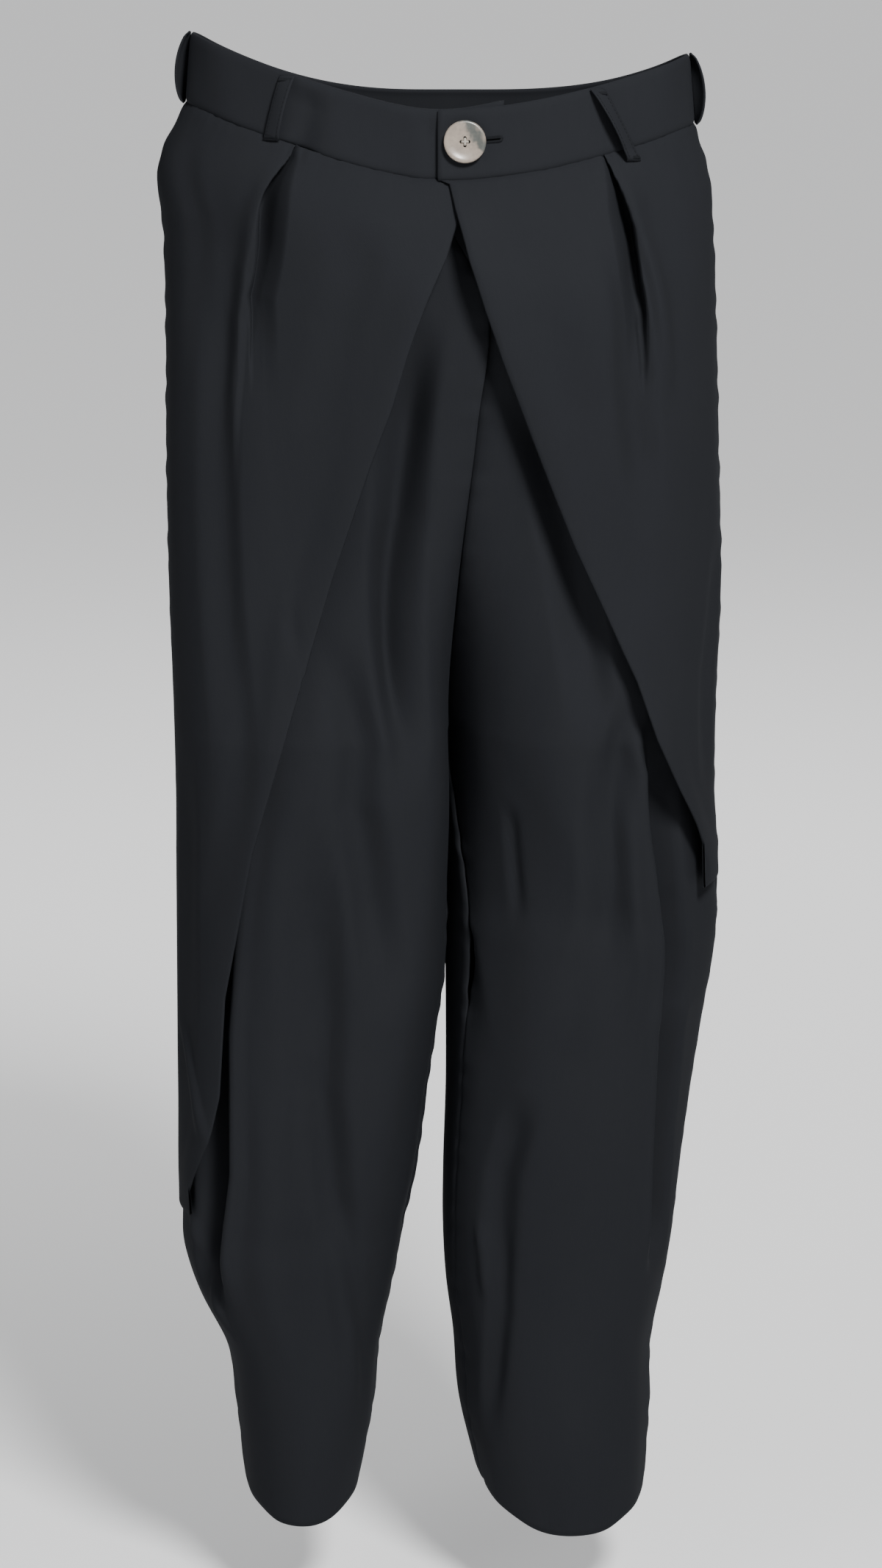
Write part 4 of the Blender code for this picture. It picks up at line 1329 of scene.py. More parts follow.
@dataclass
class ClothPiece:
    """One cut piece of cloth, with the size that it was cut to."""

    node: str
    flat: tuple[float, float]
    flat_area: float
    finish: Finish = CREPE
    slot: str = "crepe"
    held: str = "hung"
    wall: float = 0.0010
    turned_wall: float = 0.0018
    hem_turn: float = 0.030
    allowance: float = 0.012
    seam_depth: float = 0.0010
    seam_width: float = 0.0018
    pucker_height: float = 0.00030
    pucker_reach: float = 0.011
    turn_step: float = 0.004
    seam_start: float = 0.020

    def grids(self) -> Cloth:
        """The sheet's points."""
        raise NotImplementedError

    def sewn(self, distance: Array, run: Array) -> Array:
        """How a sewn edge lies: rolled in at the stitches, with small uneven puckers beside them.

        Args:
            distance: Metres from the seam.
            run: Metres along the seam.

        Returns:
            Metres along the ring's normal.
        """
        waves = sum(wave.share * np.sin(run * wave.turn + wave.phase) for wave in PUCKERS)
        pucker = self.pucker_height * waves * bump(distance, self.pucker_reach)
        return pucker - self.seam_depth * bump(distance, self.seam_width)

    def thickness(self, *turned: tuple[Array, float]) -> Array:
        """Thickness of the cloth, thicker where it is turned in.

        Args:
            turned: Pairs of a distance from an edge and the width turned in there.

        Returns:
            The wall at each place.
        """
        most = np.zeros(np.broadcast(*[distance for distance, _ in turned]).shape)
        for distance, width in turned:
            most = np.maximum(most, eased((width - distance) / self.turn_step + 0.5))
        return self.wall + (self.turned_wall - self.wall) * most

    @staticmethod
    def flat_places(leg: Leg, girth: Array, level: Array) -> Array:
        """Places on the flat cloth.

        Args:
            leg: The leg that the cloth lies on.
            girth: Shares of the girth.
            level: Levels.

        Returns:
            Metres round the leg and metres down it.
        """
        round_leg = girth * leg.stretch(girth, level)[1].mean()
        return np.stack([round_leg, np.broadcast_to(level, girth.shape)], -1)

    def make(self) -> bpy.types.Object:
        """Builds the sheet, dresses it, hangs it on the body, hides the solid that it stands for and logs
        its faces.

        Returns:
            The finished piece.
        """
        cloth = self.grids()
        piece = MeshParts.shell(self.node + "_cloth", cloth.outer, cloth.inner, cloth.uv)
        piece = self.worked(piece)
        self.finish.dress(piece)
        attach(piece, BODY)
        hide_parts(self.node)
        LOG.info("%s: %d faces", piece.name, len(piece.data.polygons))
        return piece

    def worked(self, piece: bpy.types.Object) -> bpy.types.Object:
        """The sheet after any cutting; most have none."""
        return piece


@dataclass
class LegPanel(ClothPiece):
    """A panel of one leg, from the waist seam down."""

    leg: Leg = RIGHT
    rows: int = 300
    crowded: float = 0.45
    crowding: float = 1.35
    seam_columns: int = 5
    seam_share: float = 0.012

    def levels(self, bottom: float) -> Array:
        """Rows from the waist seam to the bottom, closer together near the seam."""
        share = np.linspace(0.0, 1.0, self.rows)
        return bottom * ((1 - self.crowded) * share + self.crowded * share**self.crowding)

    def spread(self, rows: Sequence[Array], levels: Array) -> tuple[Array, Array, Array]:
        """The panel's rows as grids.

        Args:
            rows: Shares of the girth along each row.
            levels: The rows' levels.

        Returns:
            The share of the girth, the level, and the metres for a whole girth at each place.
        """
        girth = np.stack(rows)
        level = np.broadcast_to(levels[:, None], girth.shape)
        return girth, level, self.leg.stretch(girth, level)[1]


@dataclass
class LegFront(LegPanel):
    """A leg front, which lies under the wrap and shows below its free edge.

    The columns run from the centre seam to the outer fold's crest, its valley and the side seam.
    """

    fold_columns: tuple[int, int, int] = (50, 12, 18)
    under_reach: float = 0.200
    under_fade: float = 0.160
    side_fade: float = 0.12
    cad_wall: float = 0.0016
    clearance: float = 0.0022
    cover_below: float = 0.035
    cover_fade: float = 0.030

    def grids(self) -> Cloth:
        """The panel's points, from the centre front and inseam to the side seam.

        Returns:
            Its grids.
        """
        leg = self.leg
        levels = self.levels(leg.hem)
        crest = leg.outer_fold_girth(levels, 1)
        valley = leg.outer_fold_girth(levels, 2)
        edges = np.array([leg.edge_girth(level) for level in levels])[:, None]
        counts = (self.seam_columns, *self.fold_columns, self.seam_columns)
        rows = []
        for level, ridge, trough in zip(levels, crest, valley):
            start, end = leg.half_gap(0.0, level), 0.5 - leg.half_gap(0.5, level)
            stops = (start, self.seam_share, ridge, trough, 0.5 - self.seam_share, end)
            rows.append(columns(stops, counts))
        girth, level, speed = self.spread(rows, levels)
        covered = eased((level - leg.wrap_end + self.cover_below) / self.cover_fade)
        from_centre = eased((girth - edges + self.under_reach) / self.under_fade)
        near_wrap = from_centre * eased((0.5 - girth) / self.side_fade)
        inside = (self.cad_wall + 2 * SEAM_GAP) * covered
        inside = inside + read_table(UNDER_DEPTHS, "depth", level) * near_wrap
        out = leg.folded(leg.front_folds, girth, level)
        out = out + leg.outer_fold_push(girth, level, speed) - inside + leg.drift(girth, level)
        over = leg.folded((leg.pleat.cleared(), *leg.wrap_folds), girth, level)
        hidden = (girth > edges) & (level > leg.wrap_end - self.clearance)
        out = np.where(hidden, np.minimum(out, over + leg.drift(girth, level) - self.clearance), out)
        from_inner, from_side = girth * speed, (0.5 - girth) * speed
        out = out + self.sewn(from_inner, level) * eased(-level / self.seam_start)
        out = out + self.sewn(from_side, level) * (1 - covered)
        from_hem = level - leg.hem
        turned = ((from_inner, self.allowance), (from_side, self.allowance), (from_hem, self.hem_turn))
        outer, inner = leg.cloth(girth, level, out, self.thickness(*turned))
        return Cloth(outer, inner, self.flat_places(leg, girth, level))


@dataclass
class LegBack(LegPanel):
    """A leg back."""

    inner_columns: int = 76

    def grids(self) -> Cloth:
        """The panel's points, from the side seam to the centre back and inseam.

        Returns:
            Its grids.
        """
        leg = self.leg
        levels = self.levels(leg.hem)
        counts = (self.seam_columns, self.inner_columns, self.seam_columns)
        rows = []
        for level in levels:
            start, end = 0.5 + leg.half_gap(0.5, level), 1.0 - leg.half_gap(1.0, level)
            rows.append(columns((start, 0.5 + self.seam_share, 1.0 - self.seam_share, end), counts))
        girth, level, speed = self.spread(rows, levels)
        out = leg.folded(leg.back_folds, girth, level) + leg.drift(girth, level)
        from_side, from_centre = (girth - 0.5) * speed, (1 - girth) * speed
        out = out + self.sewn(from_side, level) + self.sewn(from_centre, level) + self.sewn(-level, girth)
        from_hem = level - leg.hem
        turned = ((from_side, self.allowance), (from_centre, self.allowance), (from_hem, self.hem_turn))
        outer, inner = leg.cloth(girth, level, out, self.thickness(*turned))
        return Cloth(outer, inner, self.flat_places(leg, girth, level))


@dataclass
class Wrap(LegPanel):
    """A wrap panel: a pleat from the waist seam, and a free edge that runs down and out to the side.

    The columns run from the free edge to the pleat's inner bank, its crease, its outer bank and the side.
    """

    rows: int = 240
    pleat_columns: tuple[int, int, int, int] = (26, 20, 16, 28)
    bank_most: float = 0.6
    edge_lift: float = 0.0040
    edge_roll: float = 0.0300
    lift_start: float = 0.050
    lift_end: float = 0.060
    least_width: float = 0.005
    pleat_bank: float = 3.0
    pleat_from_edge: float = 0.40
    pleat_from_side: float = 0.10
    facing: float = 0.025

    def grids(self) -> Cloth:
        """The panel's points, from its free edge to the side seam.

        Returns:
            Its grids.
        """
        leg = self.leg
        levels = self.levels(leg.wrap_end)
        path = leg.pleat.girths(leg)
        rows, edges = [], []
        for level in levels:
            side = 0.5 - leg.half_gap(0.5, level)
            edge = min(leg.edge_girth(level), side - self.least_width)
            nearest = edge + self.pleat_from_edge * (side - edge)
            crease = float(np.clip(along(path, level), nearest, side - self.pleat_from_side))
            around = leg.speed(crease, level)
            before = min(leg.pleat.inner_width / around, self.bank_most * (crease - edge))
            after = min(self.pleat_bank * leg.pleat.outer_width / around, self.bank_most * (side - crease))
            rows.append(columns((edge, crease - before, crease, crease + after, side), self.pleat_columns))
            edges.append(edge)
        girth, level, speed = self.spread(rows, levels)
        edge = np.array(edges)[:, None]
        from_edge, from_side = (girth - edge) * speed, (0.5 - girth) * speed
        lifted = eased((leg.edge_lift_start - level) / self.lift_start)
        lifted = lifted * eased((level - leg.wrap_end) / self.lift_end)
        out = self.edge_lift * eased(1 - from_edge / self.edge_roll) * lifted
        out = out + leg.folded((leg.pleat, *leg.wrap_folds), girth, level) + leg.drift(girth, level)
        out = out + self.sewn(from_side, level) + self.sewn(-level, girth)
        if leg.side is Side.LEFT:
            out = out + LAP.over(leg.ring(girth, level)[0], level)
        turned = ((from_edge, self.facing), (from_side, self.allowance))
        slid = girth - leg.pleat.tuck * leg.pleat.push(leg, girth, level, speed) / speed
        outer, inner = leg.cloth(slid, level, out, self.thickness(*turned))
        return Cloth(outer, inner, self.flat_places(leg, girth, level))


class Valley(NamedTuple):
    """A soft hollow across the band: where it starts at the top, ends at the bottom, and its size."""

    top_x: float
    bottom_x: float
    width: float
    depth: float


@dataclass
class Band(ClothPiece):
    """A length of the doubled, pressed waistband."""

    finish: Finish = PRESSED_CREPE
    slot: str = "band_crepe"
    wall: float = 0.0022
    rows: int = 26
    valleys: tuple[Valley, ...] = ()
    waver: float = 0.00035
    waver_round: float = 41.0
    waver_down: float = 2.0
    top_press: tuple[float, float] = (0.0007, 0.0020)
    seam_press: tuple[float, float] = (0.0008, 0.0016)
    valley_start: float = 0.40

    def stretch_of(self, leg: Leg, girth: Array, raised: Any) -> tuple[Array, Array]:
        """Both faces of a stretch of the band.

        Args:
            leg: The side that it lies on.
            girth: Its places round the waist.
            raised: How far it stands off.

        Returns:
            Points of the outer face and of the inner face, from the top edge to the bottom edge.
        """
        share = np.linspace(0.0, 1.0, self.rows)[:, None]
        girth = np.broadcast_to(girth, (self.rows, len(girth)))
        x, _ = leg.ring(girth, 0.0)
        drop = BAND_HEIGHT * share
        out = raised - BAND_LEAN * (1 - share)
        out = out + self.waver * np.sin(girth * self.waver_round + share * self.waver_down)
        for distance, (depth, width) in ((drop, self.top_press), (BAND_HEIGHT - drop, self.seam_press)):
            out = out - depth * bump(distance, width)
        for valley in self.valleys:
            middle = valley.top_x + (valley.bottom_x - valley.top_x) * share
            out = out - valley.depth * bump(x - middle, valley.width) * eased(share / self.valley_start)
        outer, inner = leg.cloth(girth, 0.0, out, self.wall)
        outer[..., 2] = leg.waist_height(girth) - drop
        inner[..., 2] = outer[..., 2]
        return outer, inner

    def places(self, outer: Array) -> Array:
        """Places on the flat band.

        Args:
            outer: Points of its outer face.

        Returns:
            Metres along it and metres down it.
        """
        steps = np.linalg.norm(np.diff(outer[0], axis=0), axis=-1)
        run = np.concatenate([[0.0], np.cumsum(steps)])
        down = np.linspace(0.0, -BAND_HEIGHT, self.rows)
        return np.stack(np.meshgrid(run, down), -1)


@dataclass
class FrontBand(Band):
    """A front length of the band, from its end at the lap to the side seam."""

    leg: Leg = RIGHT
    end_x: float = 0.0
    count: int = 110

    def grids(self) -> Cloth:
        """The band's points, from its free end to the side seam.

        Returns:
            Its grids.
        """
        side = 0.5 - self.leg.half_gap(0.5, 0.0)
        girth = np.linspace(self.leg.girth_at_x(self.end_x, 0.0), side, self.count)
        raised = LAP.over(self.leg.ring(girth, 0.0)[0], 0.0) if self.leg.side is Side.LEFT else 0.0
        outer, inner = self.stretch_of(self.leg, girth, raised)
        return Cloth(outer, inner, self.places(outer))


@dataclass
class BackBand(Band):
    """The back of the band, from side seam to side seam."""

    half_count: int = 90

    def grids(self) -> Cloth:
        """The band's points, from the wearer's right to the left.

        Returns:
            Its grids.
        """
        half = np.linspace(0.5 + RIGHT.half_gap(0.5, 0.0), 1.0, self.half_count)
        right = self.stretch_of(RIGHT, half, 0.0)
        left = self.stretch_of(LEFT, half[::-1], 0.0)
        joined = []
        for right_face, left_face in zip(right, left):
            right_face[:, -1, 0] = 0.0
            joined.append(np.concatenate([right_face, left_face[:, 1:]], axis=1))
        return Cloth(joined[0], joined[1], self.places(joined[0]))


@dataclass
class BeltLoop(ClothPiece):
    """A folded strip, sewn down at both ends and standing off the band between them."""

    finish: Finish = PRESSED_CREPE
    slot: str = "band_crepe"
    held: str = "stretched"
    wall: float = 0.0015
    leg: Leg = RIGHT
    top_girth: float = 0.5
    bottom_girth: float = 0.5
    below_band: float = 0.001
    stand_off: float = 0.0062
    width: float = 0.010
    above: float = 0.001
    squareness: float = 0.55
    over_hip: float = 0.35
    twist: float = 0.0
    crown: float = 0.0003
    edge_place: float = 0.74
    edge_dip: float = 0.00012
    edge_width: float = 0.10
    rows: int = 44
    count: int = 9

    def arch(self, share: float) -> float:
        """How far along its standing stretch the loop is: 0 at both ends and 1 in the middle."""
        return math.sin(math.pi * share) ** self.squareness if 0 < share < 1 else 0.0

    def spine(self, share: float) -> Triple:
        """The middle of the loop at a share of its length.

        Args:
            share: 0 at the top end and 1 at the bottom.

        Returns:
            Its share of the girth, its drop below the band's top, and how far it stands off the ring.
        """
        middle = self.top_girth + (self.bottom_girth - self.top_girth) * share
        arch = self.arch(share)
        drop = share * (BAND_HEIGHT + self.below_band + self.above) - self.above
        lean_in = BAND_LEAN * max(0.0, 1 - drop / BAND_HEIGHT)
        lapped = self.leg.side is Side.LEFT and middle < 0.5
        raised = float(LAP.over(self.leg.ring(middle, 0.0)[0], 0.0)) if lapped else 0.0
        below_seam = max(0.0, drop - BAND_HEIGHT) * self.over_hip
        out = SEAM_GAP + self.wall + self.stand_off * arch - lean_in + raised + below_seam
        return middle, drop, out

    def faces(self, share: float, across: Array, lift: Any) -> tuple[Array, Array]:
        """Both faces of the loop on a line across it.

        Args:
            share: The line's share of its length.
            across: Places from its middle, in half widths.
            lift: How far the outer face stands off there.

        Returns:
            Points of the outer face and of the inner face.
        """
        middle, drop, out = self.spine(share)
        half = self.width / 2 / self.leg.speed(middle, 0.0)
        outer, inner = self.leg.cloth(middle + half * across, 0.0, out + lift, self.wall)
        outer[..., 2] = self.leg.waist_height(middle) - drop
        inner[..., 2] = outer[..., 2]
        return outer, inner

    def grids(self) -> Cloth:
        """The loop's points: a strip with a slight crown and pressed edges.

        Returns:
            Its grids.
        """
        outer, inner = [], []
        across = np.linspace(-1.0, 1.0, self.count)
        edges = self.edge_dip * bump(np.abs(across) - self.edge_place, self.edge_width)
        for share in np.linspace(0.0, 1.0, self.rows):
            turned = self.twist * across * self.arch(float(share))
            lift = self.crown * (1 - across**2) - edges + turned
            upper, lower = self.faces(float(share), across, lift)
            outer.append(upper)
            inner.append(lower)
        places = np.meshgrid(across * self.width / 2, np.linspace(0.0, -self.flat[1], self.rows))
        return Cloth(np.stack(outer), np.stack(inner), np.stack(places, -1))


class Run(NamedTuple):
    """A line of stitches: the points that it follows, and the way that each stitch lies."""

    points: Array
    directions: Array

    @classmethod
    def laid(cls, points: Array, ways: Array) -> "Run":
        """A line whose stitches lie along ways of any length."""
        return cls(points, ways / np.linalg.norm(ways, axis=1, keepdims=True))


@dataclass(frozen=True)
class LoopStitches:
    """Where a belt loop is sewn: a bar of close stitches at each end, and a row down each edge."""

    loop: BeltLoop
    bar_lift: float = 0.0003
    bar_place: float = 0.045
    bar_step: float = 0.030
    bar_reach: float = 0.92
    bar_points: int = 12
    edge_lift: float = 0.0002
    edge_start: float = 0.07
    edge_points: int = 30

    def bar(self, share: float) -> Array:
        """Points across the loop's face at a share of its length."""
        across = np.linspace(-self.bar_reach, self.bar_reach, self.bar_points)
        return self.loop.faces(share, across, self.bar_lift)[0]

    def bars(self) -> list[Run]:
        """The bars at the loop's two ends.

        Returns:
            The lines.
        """
        runs = []
        for share, step in ((self.bar_place, self.bar_step), (1 - self.bar_place, -self.bar_step)):
            points = self.bar(share)
            runs.append(Run.laid(points, self.bar(share + step) - points))
        return runs

    def edges(self) -> list[Run]:
        """The rows down the loop's two edges.

        Returns:
            The lines.
        """
        runs = []
        for offset in (-self.loop.edge_place, self.loop.edge_place):
            points = []
            for share in np.linspace(self.edge_start, 1 - self.edge_start, self.edge_points):
                turned = self.loop.twist * offset * self.loop.arch(float(share))
                points.append(self.loop.faces(float(share), np.array(offset), turned + self.edge_lift)[0])
            points = np.array(points)
            runs.append(Run.laid(points, np.gradient(points, axis=0)))
        return runs


@dataclass(frozen=True)
class StitchWork:
    """Rows of one kind of stitch, laid along lines by Geometry Nodes."""

    name: str
    spacing: float
    length: float
    radius: float
    finish: Finish = DARK_THREAD

    def tree(self) -> bpy.types.NodeTree:
        """The node group: lines in, thread stitches with their finish out.

        Returns:
            The group.
        """
        group = bpy.data.node_groups.new(self.name, "GeometryNodeTree")
        face = group.interface
        face.new_socket("Geometry", in_out="INPUT", socket_type="NodeSocketGeometry")
        for label in ("Spacing", "Length", "Radius"):
            face.new_socket(label, in_out="INPUT", socket_type="NodeSocketFloat")
        face.new_socket("Geometry", in_out="OUTPUT", socket_type="NodeSocketGeometry")
        nodes = Nodes(group)
        given = nodes.add("NodeGroupInput").outputs
        line = nodes.add("GeometryNodeMeshToCurve", {}, {0: given["Geometry"]})
        even = {"Curve": line.outputs[0], "Length": given["Spacing"]}
        spread = nodes.add("GeometryNodeResampleCurve", {"mode": "LENGTH"}, even)
        lies = nodes.add("GeometryNodeInputNamedAttribute", {"data_type": "FLOAT_VECTOR"}, {"Name": "lies"})
        turn = nodes.add("FunctionNodeAlignRotationToVector", {"axis": "X"}, {"Vector": lies.outputs[0]})
        sizes = {0: given["Length"], 1: given["Radius"], 2: given["Radius"]}
        size = nodes.add("ShaderNodeCombineXYZ", {}, sizes)
        stitch = nodes.add("GeometryNodeMeshUVSphere", {}, {"Segments": 7, "Rings": 6, "Radius": 1.0})
        inputs = {
            "Points": spread.outputs[0],
            "Instance": stitch.outputs[0],
            "Rotation": turn.outputs[0],
            "Scale": size.outputs[0],
        }
        laid = nodes.add("GeometryNodeInstanceOnPoints", {}, inputs)
        real = nodes.add("GeometryNodeRealizeInstances", {}, {0: laid.outputs[0]})
        thread = {"Geometry": real.outputs[0], "Material": self.finish.material()}
        finished = nodes.add("GeometryNodeSetMaterial", {}, thread)
        nodes.add("NodeGroupOutput", {}, {0: finished.outputs[0]})
        return group

    def sew(self, runs: Sequence[Run]) -> bpy.types.Object:
        """Lays the stitches.

        Args:
            runs: The lines that they follow.

        Returns:
            The finished piece, as a plain mesh.
        """
        points = np.concatenate([run.points for run in runs])
        lies = np.concatenate([run.directions for run in runs])
        edges, start = [], 0
        for run in runs:
            edges += [(start + step, start + step + 1) for step in range(len(run.points) - 1)]
            start += len(run.points)
        mesh = bpy.data.meshes.new(self.name + "_lines")
        mesh.from_pydata(points.tolist(), edges, [])
        kept = mesh.attributes.new("lies", "FLOAT_VECTOR", "POINT")
        kept.data.foreach_set("vector", lies.astype(np.float32).ravel())
        lines = in_scene(self.name + "_lines", mesh)
        worker = lines.modifiers.new("stitches", "NODES")
        group = self.tree()
        worker.node_group = group
        sizes = {"Spacing": self.spacing, "Length": self.length / 2, "Radius": self.radius}
        for item in group.interface.items_tree:
            if item.in_out == "INPUT" and item.name in sizes:
                worker[item.identifier] = sizes[item.name]
        sewn = bpy.data.meshes.new_from_object(lines.evaluated_get(bpy.context.evaluated_depsgraph_get()))
        bpy.data.objects.remove(lines, do_unlink=True)
        sewn.name = self.name
        sewn.shade_smooth()
        piece = in_scene(self.name, sewn)
        self.finish.dress(piece)
        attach(piece, BODY)
        LOG.info("%s: %d faces", piece.name, len(sewn.polygons))
        return piece


@dataclass
class Button:
    """The horn-effect button at the lap, its thread and its buttonhole."""

    leg: Leg = LEFT
    x: float = 0.0150
    below_top: float = 0.0195
    radius: float = 0.0135
    wall: float = 0.0036
    stand_off: float = 0.0014
    segments: int = 96
    hole_radius: float = 0.00105
    hole_spacing: float = 0.0024
    drill_sides: int = 20
    slit_length: float = 0.0225
    slit_width: float = 0.0012
    slit_depth: float = 0.0160
    eye_radius: float = 0.0019
    eye_depth: float = 0.0200
    lip: float = 0.0006
    lip_start: float = 0.0020
    lip_stitches: int = 40
    end_stitches: int = 7
    stitch_lift: float = 0.00015
    thread_radius: float = 0.00028
    thread_sides: int = 7
    thread_level: float = 0.68
    thread_crown: float = 0.00055
    thread_over: float = 0.00030
    thread_gap: float = 0.00036
    thread_reach: float = 1.02
    thread_bend: float = 0.86
    thread_drop: float = 0.0022
    thread_points: int = 17
    shank_points: int = 40
    shank_strands: int = 3
    shank_radius: float = 0.0010
    shank_turns: float = 2.2

    def on_band(self, run: float, up: float, lift: float = 0.0) -> Array:
        """A point on the face of the band, from the middle of the button.

        Args:
            run: Metres along the band towards the wearer's left.
            up: Metres up the band.
            lift: Metres off the band.

        Returns:
            The point.
        """
        girth = self.leg.girth_at_x(self.x, 0.0) + run / self.leg.speed(0.05, 0.0)
        below = self.below_top - up
        x, _ = self.leg.ring(girth, 0.0)
        out = float(LAP.over(x, 0.0)) - BAND_LEAN * (1 - below / BAND_HEIGHT) + lift
        point, _ = self.leg.cloth(girth, 0.0, out, self.wall)
        point[2] = self.leg.waist_height(girth) - below
        return point

    def place(self) -> Matrix:
        """The button's own frame: +Z out of the band and +Y as near up as it can be.

        Returns:
            The frame.
        """
        girth = self.leg.girth_at_x(self.x, 0.0)
        tangent, speed = self.leg.stretch(np.array(girth), np.array(0.0))
        out = Vector((tangent[1] / speed, -tangent[0] / speed, BAND_LEAN / BAND_HEIGHT)).normalized()
        run = Vector((0, 0, 1)).cross(out).normalized()
        turn = Matrix((run, out.cross(run), out)).transposed()
        return Matrix.Translation(Vector(self.on_band(0.0, 0.0))) @ turn.to_4x4()

    def profile(self) -> list[tuple[float, float]]:
        """The button's half-section: a rounded rim and a dished face.

        Returns:
            The section as (radius, height) pairs.
        """
        rim, wall, base = self.radius, self.wall, self.stand_off
        shares = (
            (0.0, 0.0),
            (0.76, 0.0),
            (0.86, 0.06),
            (0.94, 0.24),
            (0.985, 0.46),
            (1.0, 0.64),
            (0.992, 0.78),
            (0.968, 0.90),
            (0.93, 0.975),
            (0.885, 1.0),
            (0.84, 0.985),
            (0.79, 0.94),
            (0.72, 0.86),
            (0.64, 0.785),
            (0.55, 0.735),
            (0.44, 0.70),
            (0.30, 0.675),
            (0.15, 0.665),
            (0.0, 0.66),
        )
        return [(rim * out, base + wall * up) for out, up in shares]

    def turned(self) -> bpy.types.Object:
        """The button's body, turned round its middle and drilled.

        Returns:
            The object.
        """
        profile = self.profile()
        angle = np.arange(self.segments) * 2 * math.pi / self.segments
        points = [(0.0, 0.0, profile[0][1]), (0.0, 0.0, profile[-1][1])]
        for out, up in profile[1:-1]:
            points += [(out * math.cos(turn), out * math.sin(turn), up) for turn in angle]
        faces = []
        rings = len(profile) - 2
        for turn in range(self.segments):
            after = (turn + 1) % self.segments
            faces.append((0, 2 + after, 2 + turn))
            last = 2 + (rings - 1) * self.segments
            faces.append((1, last + turn, last + after))
            for ring in range(rings - 1):
                low = 2 + ring * self.segments
                high = low + self.segments
                faces.append((low + turn, low + after, high + after, high + turn))
        place = self.place()
        placed = np.array([place @ Vector(point) for point in points])
        body = MeshParts.piece("button_body", placed, faces)
        tools = []
        for across, up in ((-1, 0), (1, 0), (0, -1), (0, 1)):
            spot = Vector((across * self.hole_spacing, up * self.hole_spacing, 0.0))
            tools.append(self.drill(place @ Matrix.Translation(spot), self.hole_radius, 4 * self.wall))
        return cut_away(body, tools)

    def drill(self, place: Matrix, radius: float, depth: float) -> bpy.types.Object:
        """A round cutter through a place, along its +Z.

        Args:
            place: Its frame.
            radius: Its radius.
            depth: Its length.

        Returns:
            The cutter.
        """
        sides = self.drill_sides
        angle = np.arange(sides) * 2 * math.pi / sides
        points = []
        for height in (-depth / 2, depth / 2):
            points += [place @ Vector((radius * math.cos(a), radius * math.sin(a), height)) for a in angle]
        faces = [(i, (i + 1) % sides, sides + (i + 1) % sides, sides + i) for i in range(sides)]
        faces += [tuple(range(sides))[::-1], tuple(range(sides, 2 * sides))]
        return MeshParts.piece("drill", np.array(points), faces)

    def slit_tools(self) -> list[bpy.types.Object]:
        """Cutters for the buttonhole: its round eye and the slit that runs out of it.

        Returns:
            The cutters.
        """
        eye = self.drill(self.place(), self.eye_radius, self.eye_depth)
        corners = []
        for depth in (-self.slit_depth / 2, self.slit_depth / 2):
            for run, up in ((0.0, -1), (self.slit_length, -1), (self.slit_length, 1), (0.0, 1)):
                corners.append(self.on_band(run, up * self.slit_width / 2, depth))
        faces = [(0, 1, 2, 3), (7, 6, 5, 4), (0, 4, 5, 1), (1, 5, 6, 2), (2, 6, 7, 3), (3, 7, 4, 0)]
        return [eye, MeshParts.piece("slit", np.array(corners), faces)]

    def hole_runs(self) -> list[Run]:
        """The lines of the buttonhole's stitches, along both lips and round the far end.

        Returns:
            The one line.
        """
        lip = self.slit_width / 2 + self.lip
        runs = np.linspace(self.lip_start, self.slit_length, self.lip_stitches)
        places = [(run, lip, 0.0, 1.0) for run in runs]
        for turn in np.linspace(math.pi / 2, -math.pi / 2, self.end_stitches + 2)[1:-1]:
            run = self.slit_length + lip * math.cos(turn)
            places.append((run, lip * math.sin(turn), math.cos(turn), math.sin(turn)))
        places += [(run, -lip, 0.0, -1.0) for run in runs[::-1]]
        step, lift = 0.001, self.stitch_lift
        points = np.array([self.on_band(run, up, lift) for run, up, _, _ in places])
        ahead = np.array([self.on_band(run + step * a, up + step * b, lift) for run, up, a, b in places])
        return [Run.laid(points, ahead - points)]

    def threads(self) -> list[Array]:
        """The strands that cross between the holes and go down through them.

        Returns:
            Points of each strand.
        """
        place = self.place()
        top = self.stand_off + self.wall * self.thread_level
        paths = []
        for turn in (0.0, math.pi / 2):
            over = self.thread_over if turn else 0.0
            turned = place @ Matrix.Rotation(turn, 4, "Z")
            for strand in (-1.0, 0.0, 1.0):
                path = []
                for share in np.linspace(-1.0, 1.0, self.thread_points):
                    past = max(0.0, (abs(share) - self.thread_bend) / (1 - self.thread_bend))
                    up = top + self.thread_crown * (1 - share**4) + over - self.thread_drop * past
                    run = share * self.hole_spacing * self.thread_reach
                    path.append(turned @ Vector((run, strand * self.thread_gap, up)))
                paths.append(np.array(path))
        return paths

    def shank(self) -> list[Array]:
        """The wound strands of the shank behind the button.

        Returns:
            Points of each strand.
        """
        place = self.place()
        radius, length = self.shank_radius, self.stand_off + LAP.rise
        paths = []
        for strand in range(self.shank_strands):
            path = []
            for share in np.linspace(0.0, 1.0, self.shank_points):
                turn = 2 * math.pi * (strand / self.shank_strands + self.shank_turns * share)
                at = (radius * math.cos(turn), radius * math.sin(turn), length * share - LAP.rise)
                path.append(place @ Vector(at))
            paths.append(np.array(path))
        return paths

